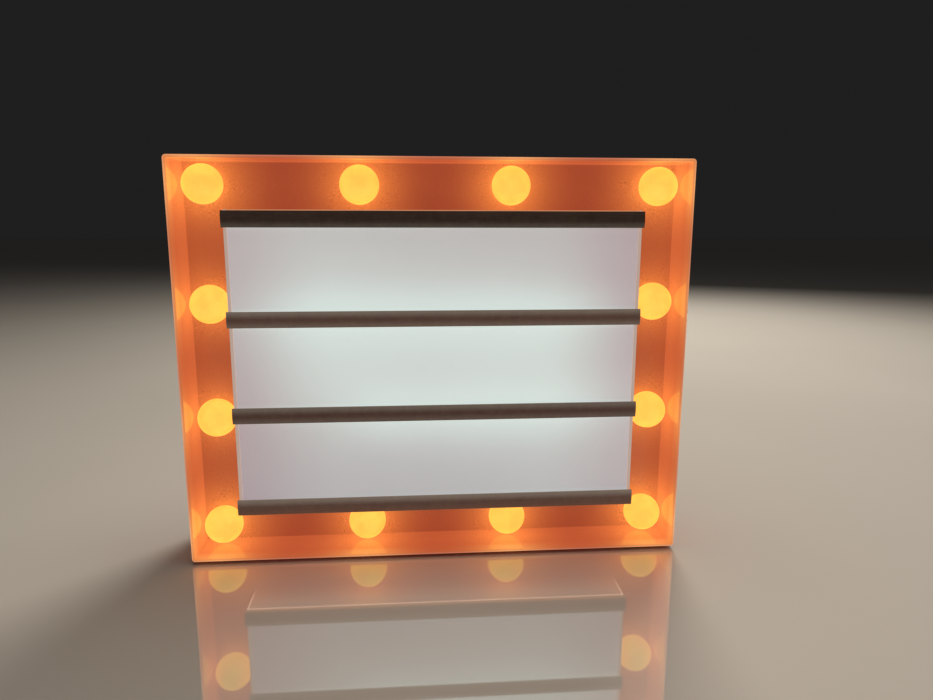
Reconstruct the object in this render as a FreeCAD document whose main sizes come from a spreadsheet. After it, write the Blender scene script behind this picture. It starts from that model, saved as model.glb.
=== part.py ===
"""Cinema light box: a lit letter board with a frame of marquee bulbs, as a parametric document.

Frame of the part: origin on the table under the middle of the box, +X to the right as
seen by someone who reads the board, +Z up, the lit front looking along -Y.
Inside the code every piece is placed from the middle of the case: x to the right, z up,
and depth, which counts from the front edge of the case's lip towards the back.
"""
import FreeCAD, Part
import math
import os
import re
import Sketcher

V = FreeCAD.Vector
doc = FreeCAD.newDocument("cinema_light_box")
sheet = doc.addObject("Spreadsheet::Sheet", "Sizes")

# %% Driving dimensions, in millimetres

SIZES = {
    # the case
    "case_width": 300,
    "case_height": 240,
    "corner_radius": 2,
    "wall": 1.8,
    "inner_radius": 0.8,
    "lip_rounding": 0.4,
    "cover_depth": 8,
    "face_depth": 27.6,
    "face_thickness": 2,
    "foot_height": 2,
    "foot_radius": 6,
    "foot_recess": 0.4,
    "foot_clearance": 0.1,
    "foot_chamfer": 0.5,
    "foot_inset": 25,
    "foot_front_depth": 10,
    "foot_rear_inset": 9,
    # the raised box round the screen, and the screen
    "side_channel": 28.5,
    "row_channel": 27.7,
    "box_wall": 1.8,
    "box_front": 0.8,
    "box_radius": 1,
    "screen_thickness": 2,
    "screen_clearance": 0.2,
    "ledge_width": 3,
    "ledge_thickness": 2,
    "peg_boss_length": 9,
    "peg_boss_height": 8,
    # the four card rails
    "rail_overhang": 0.7,
    "rail_height": 9.4,
    "rail_setback": 0.54,
    "rail_proud": 2.2,
    "rail_crown": 0.6,
    "rail_flange": 1,
    "rail_web": 5.2,
    "peg_radius": 1.5,
    "peg_clearance": 0.15,
    "peg_inset": 6.5,
    "peg_tip": 1,
    # the marquee bulbs and what holds them
    "bulb_radius": 11.6,
    "bulb_wall": 1.2,
    "bulb_inset": 13.2,
    "seat_width": 1.32,
    "neck_radius": 8,
    "neck_gap": 0.5,
    "neck_clearance": 0.15,
    "ring_thickness": 1.2,
    "ring_width": 2.5,
    "ring_clearance": 0.05,
    # lamp boards and the light tray
    "post_height": 4,
    "post_radius": 2.5,
    "post_skin": 1.2,
    "post_margin": 1,
    "board_thickness": 1.2,
    "board_width": 10,
    "board_end": 6,
    "side_board_end": 22,
    "side_screw_end": 4,
    "board_plug_gap": 25,
    "plug_width": 6,
    "plug_height": 5,
    "plug_depth": 3,
    "led_width": 5,
    "led_height": 1.6,
    "led_lens_radius": 1.9,
    "led_lens_recess": 0.3,
    "tray_wall": 1.5,
    "tray_clearance": 0.3,
    "tray_end_gap": 0.4,
    "tray_post_z": 45,
    "tray_screw_margin": 3,
    "screen_board_end": 6,
    "screen_board_width": 12,
    "screen_led_pitch": 26,
    "screen_plug_gap": 8,
    "plug_window_gap": 0.5,
    # screws
    "cover_head_radius": 3,
    "cover_head_height": 2,
    "cover_shank_radius": 1.45,
    "cover_screw_length": 13,
    "small_head_radius": 1.9,
    "small_head_height": 1.2,
    "small_shank_radius": 0.95,
    "small_screw_length": 4,
    "pilot_clearance": 0.05,
    "pilot_spare": 0.3,
    "through_clearance": 0.2,
    "recess_width": 0.7,
    # rear cover
    "cover_plate": 2,
    "cover_rounding": 1.6,
    "lap_length": 3,
    "lap_thickness": 1.25,
    "lap_clearance": 0.15,
    "boss_radius": 3.6,
    "boss_inset": 3,
    "boss_gap": 0.5,
    "pillar_radius": 4.6,
    "head_clearance": 0.4,
    "head_seat": 5.5,
    "keyhole_x": 80,
    "keyhole_drop": 40,
    "keyhole_radius": 4.5,
    "keyhole_slot_radius": 2.3,
    "keyhole_rise": 9,
    # battery bay and door
    "cell_radius": 7.25,
    "cell_length": 50.5,
    "cell_gap": 0.7,
    "cell_count": 6,
    "cell_clearance": 0.25,
    "cell_nub_radius": 2.75,
    "cell_nub_height": 1,
    "cell_rounding": 0.6,
    "bay_z": -42,
    "bay_gap": 0.3,
    "bay_wall": 1.6,
    "bay_flange": 8,
    "bay_flange_thickness": 1.6,
    "bay_rib_width": 2,
    "bay_rib_height": 3,
    "bay_rib_margin": 4,
    "finger_notch_gap": 0.3,
    "contact_thickness": 0.4,
    "contact_width": 11,
    "contact_gap": 0.05,
    "spring_room": 6.9,
    "spring_radius": 3.4,
    "spring_wire_radius": 0.35,
    "spring_turns": 3,
    "door_gap": 0.4,
    "door_seat_gap": 0.2,
    "hinge_radius": 2,
    "hinge_rounding": 1.65,
    "hinge_relief": 0.1,
    "hinge_room": 0.5,
    "lug_width": 3.6,
    "trunnion_radius": 1.2,
    "trunnion_length": 2.4,
    "trunnion_clearance": 0.05,
    "ear_width": 4,
    "ear_height": 7,
    "finger_width": 16,
    "finger_length": 6,
    "finger_thickness": 1.2,
    "finger_drop": 1,
    "finger_bead": 0.5,
    "finger_root": 0.5,
    "finger_room": 2,
    "door_top_margin": 4,
    "grip_width": 24,
    "grip_height": 1.4,
    "grip_depth": 0.7,
    "grip_pitch": 3,
    # switch, power socket and control board
    "control_inset": 55,
    "switch_z": -30,
    "socket_z": -56,
    "pocket_depth": 2.4,
    "pocket_floor": 1.6,
    "pocket_width": 18,
    "pocket_height": 9,
    "pocket_rim": 4,
    "switch_width": 20,
    "switch_height": 9,
    "switch_body_depth": 5,
    "switch_ear": 1,
    "switch_screw_x": 12,
    "switch_tab_pitch": 5,
    "switch_tab_length": 3,
    "switch_tab_width": 2,
    "switch_tab_thickness": 0.6,
    "knob_travel": 4,
    "knob_width": 7,
    "knob_height": 6,
    "knob_stem_width": 4,
    "knob_stem_height": 3,
    "knob_stem_depth": 2.5,
    "knob_clearance": 0.3,
    "knob_lift": 0.2,
    "knob_groove": 0.7,
    "knob_below_face": 0.4,
    "socket_radius": 4,
    "socket_clearance": 0.1,
    "socket_flange_radius": 5.4,
    "socket_flange": 1,
    "socket_pocket_radius": 6.6,
    "socket_bore_radius": 2.85,
    "socket_bore_depth": 9.6,
    "socket_pin_radius": 1.05,
    "socket_pin_recess": 1.2,
    "socket_length": 11.6,
    "socket_block_width": 6,
    "socket_block_depth": 2.5,
    "nut_flats": 11,
    "nut_thickness": 2,
    "control_board_inset": 61,
    "control_board_z": 42,
    "control_board_width": 46,
    "control_board_height": 35,
    "control_board_thickness": 1.6,
    "control_post_height": 6,
    "control_post_radius": 2.2,
    "control_post_margin": 3,
    "component_plug_width": 14,
    "component_plug_depth": 5,
    "component_plug_rise": 3.4,
    "small_plug_width": 8,
    "chip_width": 8,
    "chip_height": 1.6,
    "coil_width": 7,
    "coil_height": 4,
    "capacitor_radius": 3,
    "capacitor_height": 5.4,
    # leads
    "lead_radius": 0.6,
}

# %% Sizes that follow from the driving ones, each a word of its own in an expression

FOLLOWING = {
    # the raised box leaves a channel for the bulbs all round, and the rails span it
    "box_width": "case_width - 2 * wall - 2 * side_channel",
    "box_height": "case_height - 2 * wall - 2 * row_channel",
    "rail_length": "box_width + 2 * rail_overhang",
    "rail_pitch": "(box_height - rail_height - 2 * rail_setback) / 3",
    # four bulbs along the top and bottom and four down each side, the corner ones shared
    "bulb_pitch_x": "(case_width - 2 * wall - 2 * bulb_inset) / 3",
    "bulb_pitch_z": "(case_height - 2 * wall - 2 * bulb_inset) / 3",
    "bulb_standoff": "sqrt(bulb_radius ^ 2 - (neck_radius + seat_width) ^ 2)",
    "neck_length": "post_height - neck_gap",
    # the depth is a stack: recess, face, posts, tray, gap, bay, cells and cover
    "case_depth": "face_depth + face_thickness + post_height + tray_wall + bay_gap + bay_wall"
                  " + 2 * cell_radius + 2 * cell_clearance + cover_plate",
    "shell_depth": "case_depth - cover_depth",
    "foot_rear_depth": "shell_depth - foot_rear_inset",
    "cell_pitch": "2 * cell_radius + cell_gap",
    "bay_height": "cell_length + spring_room",
    "screen_board_length": "6 * screen_led_pitch + 2 * screen_board_end",
    # the keyholes keep to the top edge, the switch, socket and control board to the right edge
    "keyhole_z": "case_height / 2 - keyhole_drop",
    "control_x": "case_width / 2 - control_inset",
    "control_board_x": "case_width / 2 - control_board_inset",
    "screen_plug_x": "control_board_x - control_board_width / 2 - screen_plug_gap",
    "board_plug_x": "control_board_x - board_plug_gap",
}

for row, (name, number) in enumerate(SIZES.items(), start=1):
    sheet.set(f"A{row}", name)
    sheet.set(f"B{row}", str(number))
    sheet.setAlias(f"B{row}", name)
doc.recompute()


def expression(text):
    """The text as a FreeCAD expression: a driving size gets the sheet's name, a following one its text."""
    def written_out(word):
        if word[0] in FOLLOWING:
            return f"({expression(FOLLOWING[word[0]])})"
        return "Sizes." + word[0] if word[0] in SIZES else word[0]
    return re.sub(r"[a-z][a-z0-9_]*", written_out, text)


def value(text):
    """The number that the text gives with the sheet's present sizes."""
    return float(sheet.evalExpression(expression(text)))


def bind(thing, prop, text):
    thing.setExpression(prop, expression(text))


# %% Places that several pieces share

INNER_WIDTH = "(case_width - 2 * wall)"
INNER_HEIGHT = "(case_height - 2 * wall)"
FACE_BACK = "(face_depth + face_thickness)"
BOX_INNER_WIDTH = "(box_width - 2 * box_wall)"
BOX_INNER_HEIGHT = "(box_height - 2 * box_wall)"
LEDGE_FRONT = "(box_front + screen_thickness)"
LEDGE_BACK = f"({LEDGE_FRONT} + ledge_thickness)"
LIP_Y = "(-(case_depth - rail_proud) / 2)"
CASE_Z = "(foot_height + case_height / 2)"
PEG_X = "(rail_length / 2 - peg_inset)"
BULB_X = "(1.5 * bulb_pitch_x)"
BULB_Z = "(1.5 * bulb_pitch_z)"
NECK_HOLE = "(neck_radius + neck_clearance)"
BOARD_FRONT = f"({FACE_BACK} + post_height)"
BOARD_BACK = f"({BOARD_FRONT} + board_thickness)"
TRAY_BACK = f"({BOARD_FRONT} + tray_wall)"
TRAY_POST_X = f"({BOX_INNER_WIDTH} / 2 + post_radius + post_margin)"
TRAY_POST_Z = f"({BOX_INNER_HEIGHT} / 2 + post_radius + post_margin)"
SIDE_SCREW_Z = "(bulb_pitch_z / 2 + side_board_end - side_screw_end)"
SMALL_PILOT = "(small_shank_radius + pilot_clearance)"
SMALL_HOLE = "(small_shank_radius + through_clearance)"
COVER_PILOT = "(cover_shank_radius + pilot_clearance)"
COVER_HOLE = "(cover_shank_radius + through_clearance)"

COVER_INNER = "(case_depth - cover_plate)"
COVER_WALL = "(wall + lap_clearance + lap_thickness)"
BOSS_END = "(shell_depth - lap_length - boss_gap)"
BOSS_X = f"({INNER_WIDTH} / 2 - boss_inset)"
BOSS_Z = f"({INNER_HEIGHT} / 2 - boss_inset)"
HEAD_SEAT = "(case_depth - head_seat)"

BAY_WIDTH = "(cell_count * cell_pitch + 2 * cell_clearance)"
CELL_DEPTH = f"({COVER_INNER} - cell_clearance - cell_radius)"
BAY_FLOOR = f"({CELL_DEPTH} - cell_radius - cell_clearance)"
BAY_OUTER_WIDTH = f"({BAY_WIDTH} + 2 * bay_wall)"
BAY_TOP = "(bay_z + bay_height / 2 + bay_wall)"
BAY_BOTTOM = "(bay_z - bay_height / 2 - bay_wall)"
HINGE_Z = f"({BAY_BOTTOM} - hinge_radius - hinge_room)"
HINGE_DEPTH = "(case_depth - hinge_radius)"
DOOR_WIDTH = f"({BAY_OUTER_WIDTH} + 2 * lug_width + 2 * hinge_room)"
DOOR_BOTTOM = f"({HINGE_Z} - hinge_radius)"
DOOR_TOP = f"({BAY_TOP} + door_top_margin)"
DOOR_HEIGHT = f"({DOOR_TOP} - {DOOR_BOTTOM})"
DOOR_MIDDLE = f"(({DOOR_TOP} + {DOOR_BOTTOM}) / 2)"
DOOR_INNER = f"({COVER_INNER} + door_seat_gap)"

POCKET_FLOOR = "(case_depth - pocket_depth)"
POCKET_BACK = f"({POCKET_FLOOR} - pocket_floor)"
KNOB_X = "(control_x + knob_travel / 2)"
CONTROL_FRONT = f"({COVER_INNER} - control_post_height - control_board_thickness)"
CONTROL_POST_X = "(control_board_width / 2 - control_post_margin)"
CONTROL_POST_Z = "(control_board_height / 2 - control_post_margin)"
CONTROL_BOTTOM = "(control_board_z - control_board_height / 2)"
CONTROL_TOP = "(control_board_z + control_board_height / 2)"
CONTROL_LEFT = "(control_board_x - control_board_width / 2)"
PLUG_X = f"({CONTROL_POST_X} / 2)"
MARQUEE_PLUG_X = f"(0.55 * {CONTROL_POST_X})"
SCREEN_PLUG_Z = f"(0.2 * {CONTROL_POST_Z})"

RAILS = {"top": "1.5", "upper": "0.5", "lower": "-0.5", "bottom": "-1.5"}
SIGNS = (-1, 1)


def four(x, z):
    """The four mirrored places of one place."""
    return [(f"{a} * {x}", f"{b} * {z}") for b in SIGNS for a in SIGNS]


ROW_PLACES = [(f"{k} * bulb_pitch_x", f"{b} * {BULB_Z}") for b in (1, -1) for k in (-1.5, -0.5, 0.5, 1.5)]
SIDE_PLACES = [(f"{a} * {BULB_X}", f"{b} * bulb_pitch_z / 2") for b in (1, -1) for a in SIGNS]
BULB_PLACES = ROW_PLACES + SIDE_PLACES
PEG_PLACES = [(f"{a} * {PEG_X}", f"{k} * rail_pitch") for k in RAILS.values() for a in SIGNS]
BOSS_PLACES = four("bulb_pitch_x", BOSS_Z) + [(f"{a} * {BOSS_X}", "0") for a in SIGNS]
TRAY_PLACES = four(TRAY_POST_X, "tray_post_z") + [("0", f"{b} * {TRAY_POST_Z}") for b in SIGNS]
ROW_SCREWS = [(f"{a} * bulb_pitch_x", f"{b} * {BULB_Z}") for b in SIGNS for a in (-1, 0, 1)]
SIDE_SCREWS = [(f"{a} * {BULB_X}", f"{b} * {SIDE_SCREW_Z}") for a in SIGNS for b in (-1, 0, 1)]
CONTROL_PLACES = [(f"control_board_x + {a}", f"control_board_z + {b}")
                  for a, b in four(CONTROL_POST_X, CONTROL_POST_Z)]
SWITCH_PLACES = [(f"control_x + {a} * switch_screw_x", "switch_z") for a in SIGNS]

# %% Sketch helpers

PIECES = []


def place_in_case(thing, x="0", depth="0", z="0"):
    """Put an object modelled about its own origin at a place counted from the case."""
    bind(thing, "Placement.Base.x", x)
    bind(thing, "Placement.Base.y", f"{LIP_Y} + {depth}")
    bind(thing, "Placement.Base.z", f"{CASE_Z} + {z}")


def new_body(name):
    body = doc.addObject("PartDesign::Body", name)
    body.Label = name
    return body


def piece(name, x="0", depth="0", z="0"):
    """A body that is handed on as a sub-part of its own."""
    body = new_body(name)
    place_in_case(body, x, depth, z)
    PIECES.append(body)
    return body


def sketch(body, plane, offset="0"):
    """A sketch on one of the body's own planes, moved along the plane's normal."""
    sk = body.newObject("Sketcher::SketchObject", body.Label + "_sketch")
    support = next(f for f in body.Origin.OriginFeatures if f.Role == plane)
    sk.AttachmentSupport = [(support, "")]
    sk.MapMode = "FlatFace"
    bind(sk, "AttachmentOffset.Base.z", offset)
    doc.recompute()
    return sk


def front_sketch(body, depth="0"):
    """A sketch that looks at the part from the front: x to the right, z up, at a depth."""
    return sketch(body, "XZ_Plane", f"-({depth})")


def dimension(sk, kind, first, second, text):
    """A driving distance from one point to another along x or y, whatever its sign."""
    number = value(text)
    if number < 0:
        first, second, text, number = second, first, f"-({text})", -number
    index = sk.addConstraint(Sketcher.Constraint(kind, *first, *second, number))
    bind(sk, f"Constraints[{index}]", text)


def put_point(sk, point, x, y):
    """Fix a point of the sketch at x, y."""
    for text, kind, axis in ((x, "DistanceX", -2), (y, "DistanceY", -1)):
        if value(text) == 0:
            sk.addConstraint(Sketcher.Constraint("PointOnObject", *point, axis))
        else:
            dimension(sk, kind, (-1, 1), point, text)


def outline(sk, corners):
    """A closed outline of straight lines, each corner at its own x, y."""
    spots = [V(value(x), value(y), 0) for x, y in corners]
    first = sk.GeometryCount
    for start, end in zip(spots, spots[1:] + spots[:1]):
        sk.addGeometry(Part.LineSegment(start, end), False)
    for i in range(len(spots)):
        follower = first + (i + 1) % len(spots)
        sk.addConstraint(Sketcher.Constraint("Coincident", first + i, 2, follower, 1))
    for i, (x, y) in enumerate(corners):
        put_point(sk, (first + i, 1), x, y)


def rectangle(sk, width, height, x="0", y="0"):
    left, right = f"{x} - {width} / 2", f"{x} + {width} / 2"
    low, high = f"{y} - {height} / 2", f"{y} + {height} / 2"
    outline(sk, [(left, low), (right, low), (right, high), (left, high)])


def circle(sk, radius, x="0", y="0"):
    centre = V(value(x), value(y), 0)
    index = sk.addGeometry(Part.Circle(centre, V(0, 0, 1), value(radius)), False)
    bind(sk, f"Constraints[{sk.addConstraint(Sketcher.Constraint('Radius', index, value(radius)))}]", radius)
    put_point(sk, (index, 3), x, y)


def circles(sk, radius, places):
    for x, y in places:
        circle(sk, radius, x, y)


def rounded_rectangle(sk, width, height, radius):
    """A rectangle about the sketch's origin with four equal round corners."""
    w, h, r = value(width) / 2, value(height) / 2, value(radius)
    starts = [V(r - w, -h, 0), V(w, r - h, 0), V(w - r, h, 0), V(-w, h - r, 0)]
    ends = [V(w - r, -h, 0), V(w, h - r, 0), V(r - w, h, 0), V(-w, r - h, 0)]
    centres = [V(w - r, r - h, 0), V(w - r, h - r, 0), V(r - w, h - r, 0), V(r - w, r - h, 0)]
    first = sk.GeometryCount
    for i in range(4):
        sk.addGeometry(Part.LineSegment(starts[i], ends[i]), False)
        ring = Part.Circle(centres[i], V(0, 0, 1), r)
        turn = math.pi / 2 * (i - 1)
        sk.addGeometry(Part.ArcOfCircle(ring, turn, turn + math.pi / 2), False)
    for i in range(4):
        line, arc, follower = first + 2 * i, first + 2 * i + 1, first + (2 * i + 2) % 8
        sk.addConstraint(Sketcher.Constraint("Tangent", line, 2, arc, 1))
        sk.addConstraint(Sketcher.Constraint("Tangent", arc, 2, follower, 1))
        sk.addConstraint(Sketcher.Constraint("Vertical" if i % 2 else "Horizontal", line))
    for i in range(1, 4):
        sk.addConstraint(Sketcher.Constraint("Equal", first + 1, first + 2 * i + 1))
    sk.addConstraint(Sketcher.Constraint("Symmetric", first + 1, 3, first + 5, 3, -1, 1))
    index = sk.addConstraint(Sketcher.Constraint("Radius", first + 1, r))
    bind(sk, f"Constraints[{index}]", radius)
    dimension(sk, "DistanceX", (first + 6, 1), (first + 2, 1), width)
    dimension(sk, "DistanceY", (first, 1), (first + 4, 1), height)


# %% Feature helpers


def grow(kind, body, sk, length, reverse):
    feature = body.newObject(f"PartDesign::{kind}", f"{body.Label}_{kind.lower()}")
    feature.Profile = sk
    feature.Reversed = reverse
    bind(feature, "Length", length)
    return feature


def pad_back(body, sk, length):
    """Material from a front sketch towards the back of the case."""
    return grow("Pad", body, sk, length, True)


def pad_front(body, sk, length):
    return grow("Pad", body, sk, length, False)


def cut_back(body, sk, length):
    """A cut from a front sketch towards the back of the case."""
    return grow("Pocket", body, sk, length, False)


def cut_front(body, sk, length):
    return grow("Pocket", body, sk, length, True)


def pad_both(body, sk, length):
    """Material to both sides of the sketch's plane."""
    feature = grow("Pad", body, sk, length, False)
    feature.SideType = "Symmetric"
    return feature


def revolve(body, sk):
    """A full turn about the sketch's upright axis."""
    feature = body.newObject("PartDesign::Revolution", body.Label + "_turning")
    feature.Profile = sk
    feature.ReferenceAxis = (sk, ["V_Axis"])
    feature.Angle = 360
    return feature


def round_edges(body, radius, wanted, kind="Fillet", size="Radius"):
    """Round, or chamfer, the edges of the body's last feature that wanted() picks."""
    doc.recompute()
    base = body.Tip
    names = [f"Edge{i}" for i, edge in enumerate(base.Shape.Edges, start=1) if wanted(edge)]
    feature = body.newObject(f"PartDesign::{kind}", f"{body.Label}_{kind.lower()}")
    feature.Base = (base, names)
    bind(feature, size, radius)
    return feature


def lies_at(edge, axis, text):
    """True for an edge that lies wholly in the plane axis = text."""
    low = getattr(edge.BoundBox, axis + "Min")
    high = getattr(edge.BoundBox, axis + "Max")
    return abs(low - value(text)) < 0.001 and abs(high - value(text)) < 0.001


def group(name, masters_and_places):
    """One sub-part made of several separate solids, each a link to a master body."""
    links = []
    for master, x, depth, z, rotation in masters_and_places:
        link = doc.addObject("App::Link", f"{name}_link")
        link.LinkedObject = master
        link.Placement = FreeCAD.Placement(V(0, 0, 0), rotation)
        place_in_case(link, x, depth, z)
        links.append(link)
    compound = doc.addObject("Part::Compound", name)
    compound.Label = name
    compound.Links = links
    PIECES.append(compound)


AS_MADE = FreeCAD.Rotation()
TURNED_ROUND = FreeCAD.Rotation(V(0, 0, 1), 180)
UPSIDE_DOWN = FreeCAD.Rotation(V(0, 1, 0), 180)


# %% Front shell: lip, marquee face, raised box round the screen, bosses and posts


def front_shell():
    body = piece("front_shell")
    sk = front_sketch(body)
    rounded_rectangle(sk, "case_width", "case_height", "corner_radius")
    pad_back(body, sk, "shell_depth")
    # the recess inside the lip, down to the marquee face
    sk = front_sketch(body)
    rounded_rectangle(sk, INNER_WIDTH, INNER_HEIGHT, "inner_radius")
    cut_back(body, sk, "face_depth")
    round_edges(body, "lip_rounding", lambda e: lies_at(e, "Y", "0"))
    # the hollow behind the face
    sk = front_sketch(body, FACE_BACK)
    rounded_rectangle(sk, INNER_WIDTH, INNER_HEIGHT, "inner_radius")
    cut_back(body, sk, f"shell_depth - {FACE_BACK}")
    # the raised box, open right through
    sk = front_sketch(body, "face_depth")
    rounded_rectangle(sk, "box_width", "box_height", "box_radius")
    pad_front(body, sk, "face_depth - box_front")
    sk = front_sketch(body, "box_front")
    rectangle(sk, BOX_INNER_WIDTH, BOX_INNER_HEIGHT)
    cut_back(body, sk, f"{FACE_BACK} - box_front")
    # the ledge that the screen rests on
    sk = front_sketch(body, LEDGE_FRONT)
    rectangle(sk, BOX_INNER_WIDTH, BOX_INNER_HEIGHT)
    rectangle(sk, f"({BOX_INNER_WIDTH} - 2 * ledge_width)", f"({BOX_INNER_HEIGHT} - 2 * ledge_width)")
    pad_back(body, sk, "ledge_thickness")
    # a wider tongue of ledge behind each end of each rail, and the hole for the rail's peg
    for factor in RAILS.values():
        for a in SIGNS:
            sk = front_sketch(body, LEDGE_FRONT)
            x = f"{a} * ({BOX_INNER_WIDTH} / 2 - peg_boss_length / 2)"
            rectangle(sk, "peg_boss_length", "peg_boss_height", x, f"{factor} * rail_pitch")
            pad_back(body, sk, "ledge_thickness")
    sk = front_sketch(body, LEDGE_FRONT)
    circles(sk, "(peg_radius + peg_clearance)", PEG_PLACES)
    cut_back(body, sk, "ledge_thickness")
    # bulb holes
    sk = front_sketch(body, "face_depth")
    circles(sk, NECK_HOLE, BULB_PLACES)
    cut_back(body, sk, "face_thickness")
    # screw bosses for the rear cover
    sk = front_sketch(body, FACE_BACK)
    circles(sk, "boss_radius", BOSS_PLACES)
    pad_back(body, sk, f"{BOSS_END} - {FACE_BACK}")
    sk = front_sketch(body, BOSS_END)
    circles(sk, COVER_PILOT, BOSS_PLACES)
    cut_front(body, sk, f"cover_screw_length - ({HEAD_SEAT} - {BOSS_END}) + pilot_spare")
    # posts for the light tray and the marquee boards
    posts = TRAY_PLACES + ROW_SCREWS + SIDE_SCREWS
    sk = front_sketch(body, FACE_BACK)
    circles(sk, "post_radius", posts)
    pad_back(body, sk, "post_height")
    sk = front_sketch(body, BOARD_FRONT)
    circles(sk, SMALL_PILOT, posts)
    cut_front(body, sk, "post_height + face_thickness - post_skin")
    # shallow seats for the feet
    sk = sketch(body, "XY_Plane", "-case_height / 2")
    for depth in ("foot_front_depth", "foot_rear_depth"):
        for a in SIGNS:
            circle(sk, "(foot_radius + foot_clearance)", f"{a} * (case_width / 2 - foot_inset)", depth)
    cut_front(body, sk, "foot_recess")


# %% Screen and card rails


def screen_panel():
    body = piece("screen_panel")
    sk = front_sketch(body, "box_front")
    clear = "2 * screen_clearance"
    rectangle(sk, f"({BOX_INNER_WIDTH} - {clear})", f"({BOX_INNER_HEIGHT} - {clear})")
    circles(sk, "(peg_radius + peg_clearance)", PEG_PLACES)
    pad_back(body, sk, "screen_thickness")


def rail(name, factor):
    """A card rail: crowned front, a groove above and below unless it is an end rail."""
    body = piece(f"{name}_rail", z=f"{factor} * rail_pitch")
    half, web = "rail_height / 2", "rail_web / 2"
    shoulder = "(rail_crown - rail_proud)"
    flange_back = f"({shoulder} + rail_flange)"
    upper = [(flange_back, half), (flange_back, web), ("box_front", web)]
    lower = [("box_front", f"-{web}"), (flange_back, f"-{web}"), (flange_back, f"-{half}")]
    if name == "top":
        upper = [("box_front", half)]
    if name == "bottom":
        lower = [("box_front", f"-{half}")]
    corners = [(shoulder, half)] + upper + lower + [(shoulder, f"-{half}")]
    sk = sketch(body, "YZ_Plane")
    spots = [V(value(x), value(y), 0) for x, y in corners]
    for start, end in zip(spots, spots[1:]):
        sk.addGeometry(Part.LineSegment(start, end), False)
    front = V(-value("rail_proud"), 0, 0)
    arc = sk.addGeometry(Part.Arc(spots[0], front, spots[-1]), False)
    for i in range(arc - 1):
        sk.addConstraint(Sketcher.Constraint("Coincident", i, 2, i + 1, 1))
    sk.addConstraint(Sketcher.Constraint("Coincident", 0, 1, arc, 1))
    sk.addConstraint(Sketcher.Constraint("Coincident", arc - 1, 2, arc, 2))
    for i, (x, y) in enumerate(corners[:-1]):
        put_point(sk, (i, 1), x, y)
    put_point(sk, (arc - 1, 2), *corners[-1])
    radius = "((rail_height ^ 2 / 4 + rail_crown ^ 2) / (2 * rail_crown))"
    index = sk.addConstraint(Sketcher.Constraint("Radius", arc, value(radius)))
    bind(sk, f"Constraints[{index}]", radius)
    pad_both(body, sk, "rail_length")
    sk = front_sketch(body, "box_front")
    circles(sk, "peg_radius", [(f"{a} * {PEG_X}", "0") for a in SIGNS])
    pad_back(body, sk, "screen_thickness + ledge_thickness + peg_tip")


# %% Marquee bulbs: a hollow globe with a neck through the face, and its push-on ring


def bulb_globe(number, x, z):
    body = piece(f"bulb_globe_{number:02d}", x=x, z=z)
    centre = "(face_depth - bulb_standoff)"
    inner_radius = "(bulb_radius - bulb_wall)"
    neck_inner = "(neck_radius - bulb_wall)"
    neck_end = f"({FACE_BACK} + neck_length)"
    seat = "(neck_radius + seat_width)"
    throat = f"({centre} + sqrt({inner_radius} ^ 2 - {neck_inner} ^ 2))"
    middle = V(0, value(centre), 0)
    sk = sketch(body, "XY_Plane")
    rings = []
    for radius, x_end, y_end in ((value("bulb_radius"), value(seat), value("face_depth")),
                                 (value(inner_radius), value(neck_inner), value(throat))):
        end_angle = math.atan2(y_end - middle.y, x_end)
        ring = Part.Circle(middle, V(0, 0, 1), radius)
        rings.append(sk.addGeometry(Part.ArcOfCircle(ring, -math.pi / 2, end_angle), False))
    chain = [(seat, "face_depth"), ("neck_radius", "face_depth"), ("neck_radius", neck_end),
             (neck_inner, neck_end), (neck_inner, throat)]
    spots = [V(value(a), value(b), 0) for a, b in chain]
    for start, end in zip(spots, spots[1:]):
        sk.addGeometry(Part.LineSegment(start, end), False)
    apex = middle - V(0, value("bulb_radius"), 0)
    inner_apex = middle - V(0, value(inner_radius), 0)
    axis = sk.addGeometry(Part.LineSegment(inner_apex, apex), False)
    joined = [((0, 2), (2, 1)), ((2, 2), (3, 1)), ((3, 2), (4, 1)), ((4, 2), (5, 1)),
              ((5, 2), (1, 2)), ((1, 1), (axis, 1)), ((axis, 2), (0, 1)), ((0, 3), (1, 3))]
    for first, second in joined:
        sk.addConstraint(Sketcher.Constraint("Coincident", *first, *second))
    for line, way in ((2, "Horizontal"), (3, "Vertical"), (4, "Horizontal"), (5, "Vertical")):
        sk.addConstraint(Sketcher.Constraint(way, line))
    for arc, radius in zip(rings, ("bulb_radius", inner_radius)):
        sk.addConstraint(Sketcher.Constraint("PointOnObject", arc, 1, -2))
        index = sk.addConstraint(Sketcher.Constraint("Radius", arc, value(radius)))
        bind(sk, f"Constraints[{index}]", radius)
    put_point(sk, (0, 3), "0", centre)
    put_point(sk, (3, 1), "neck_radius", "face_depth")
    put_point(sk, (5, 1), neck_inner, neck_end)
    revolve(body, sk)


def bulb_retaining_rings():
    master = new_body("ring_master")
    sk = front_sketch(master)
    circle(sk, "(neck_radius + ring_clearance + ring_width)")
    circle(sk, "(neck_radius + ring_clearance)")
    pad_back(master, sk, "ring_thickness")
    group("bulb_retaining_rings", [(master, x, FACE_BACK, z, AS_MADE) for x, z in BULB_PLACES])


# %% Lamp boards


def led_master():
    """A square lamp that sits on its board and looks to the front, its back at depth 0."""
    master = new_body("led_master")
    sk = front_sketch(master)
    rectangle(sk, "led_width", "led_width")
    pad_front(master, sk, "led_height")
    sk = front_sketch(master, "-led_height")
    circle(sk, "led_lens_radius")
    cut_back(master, sk, "led_lens_recess")
    return master


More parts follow.
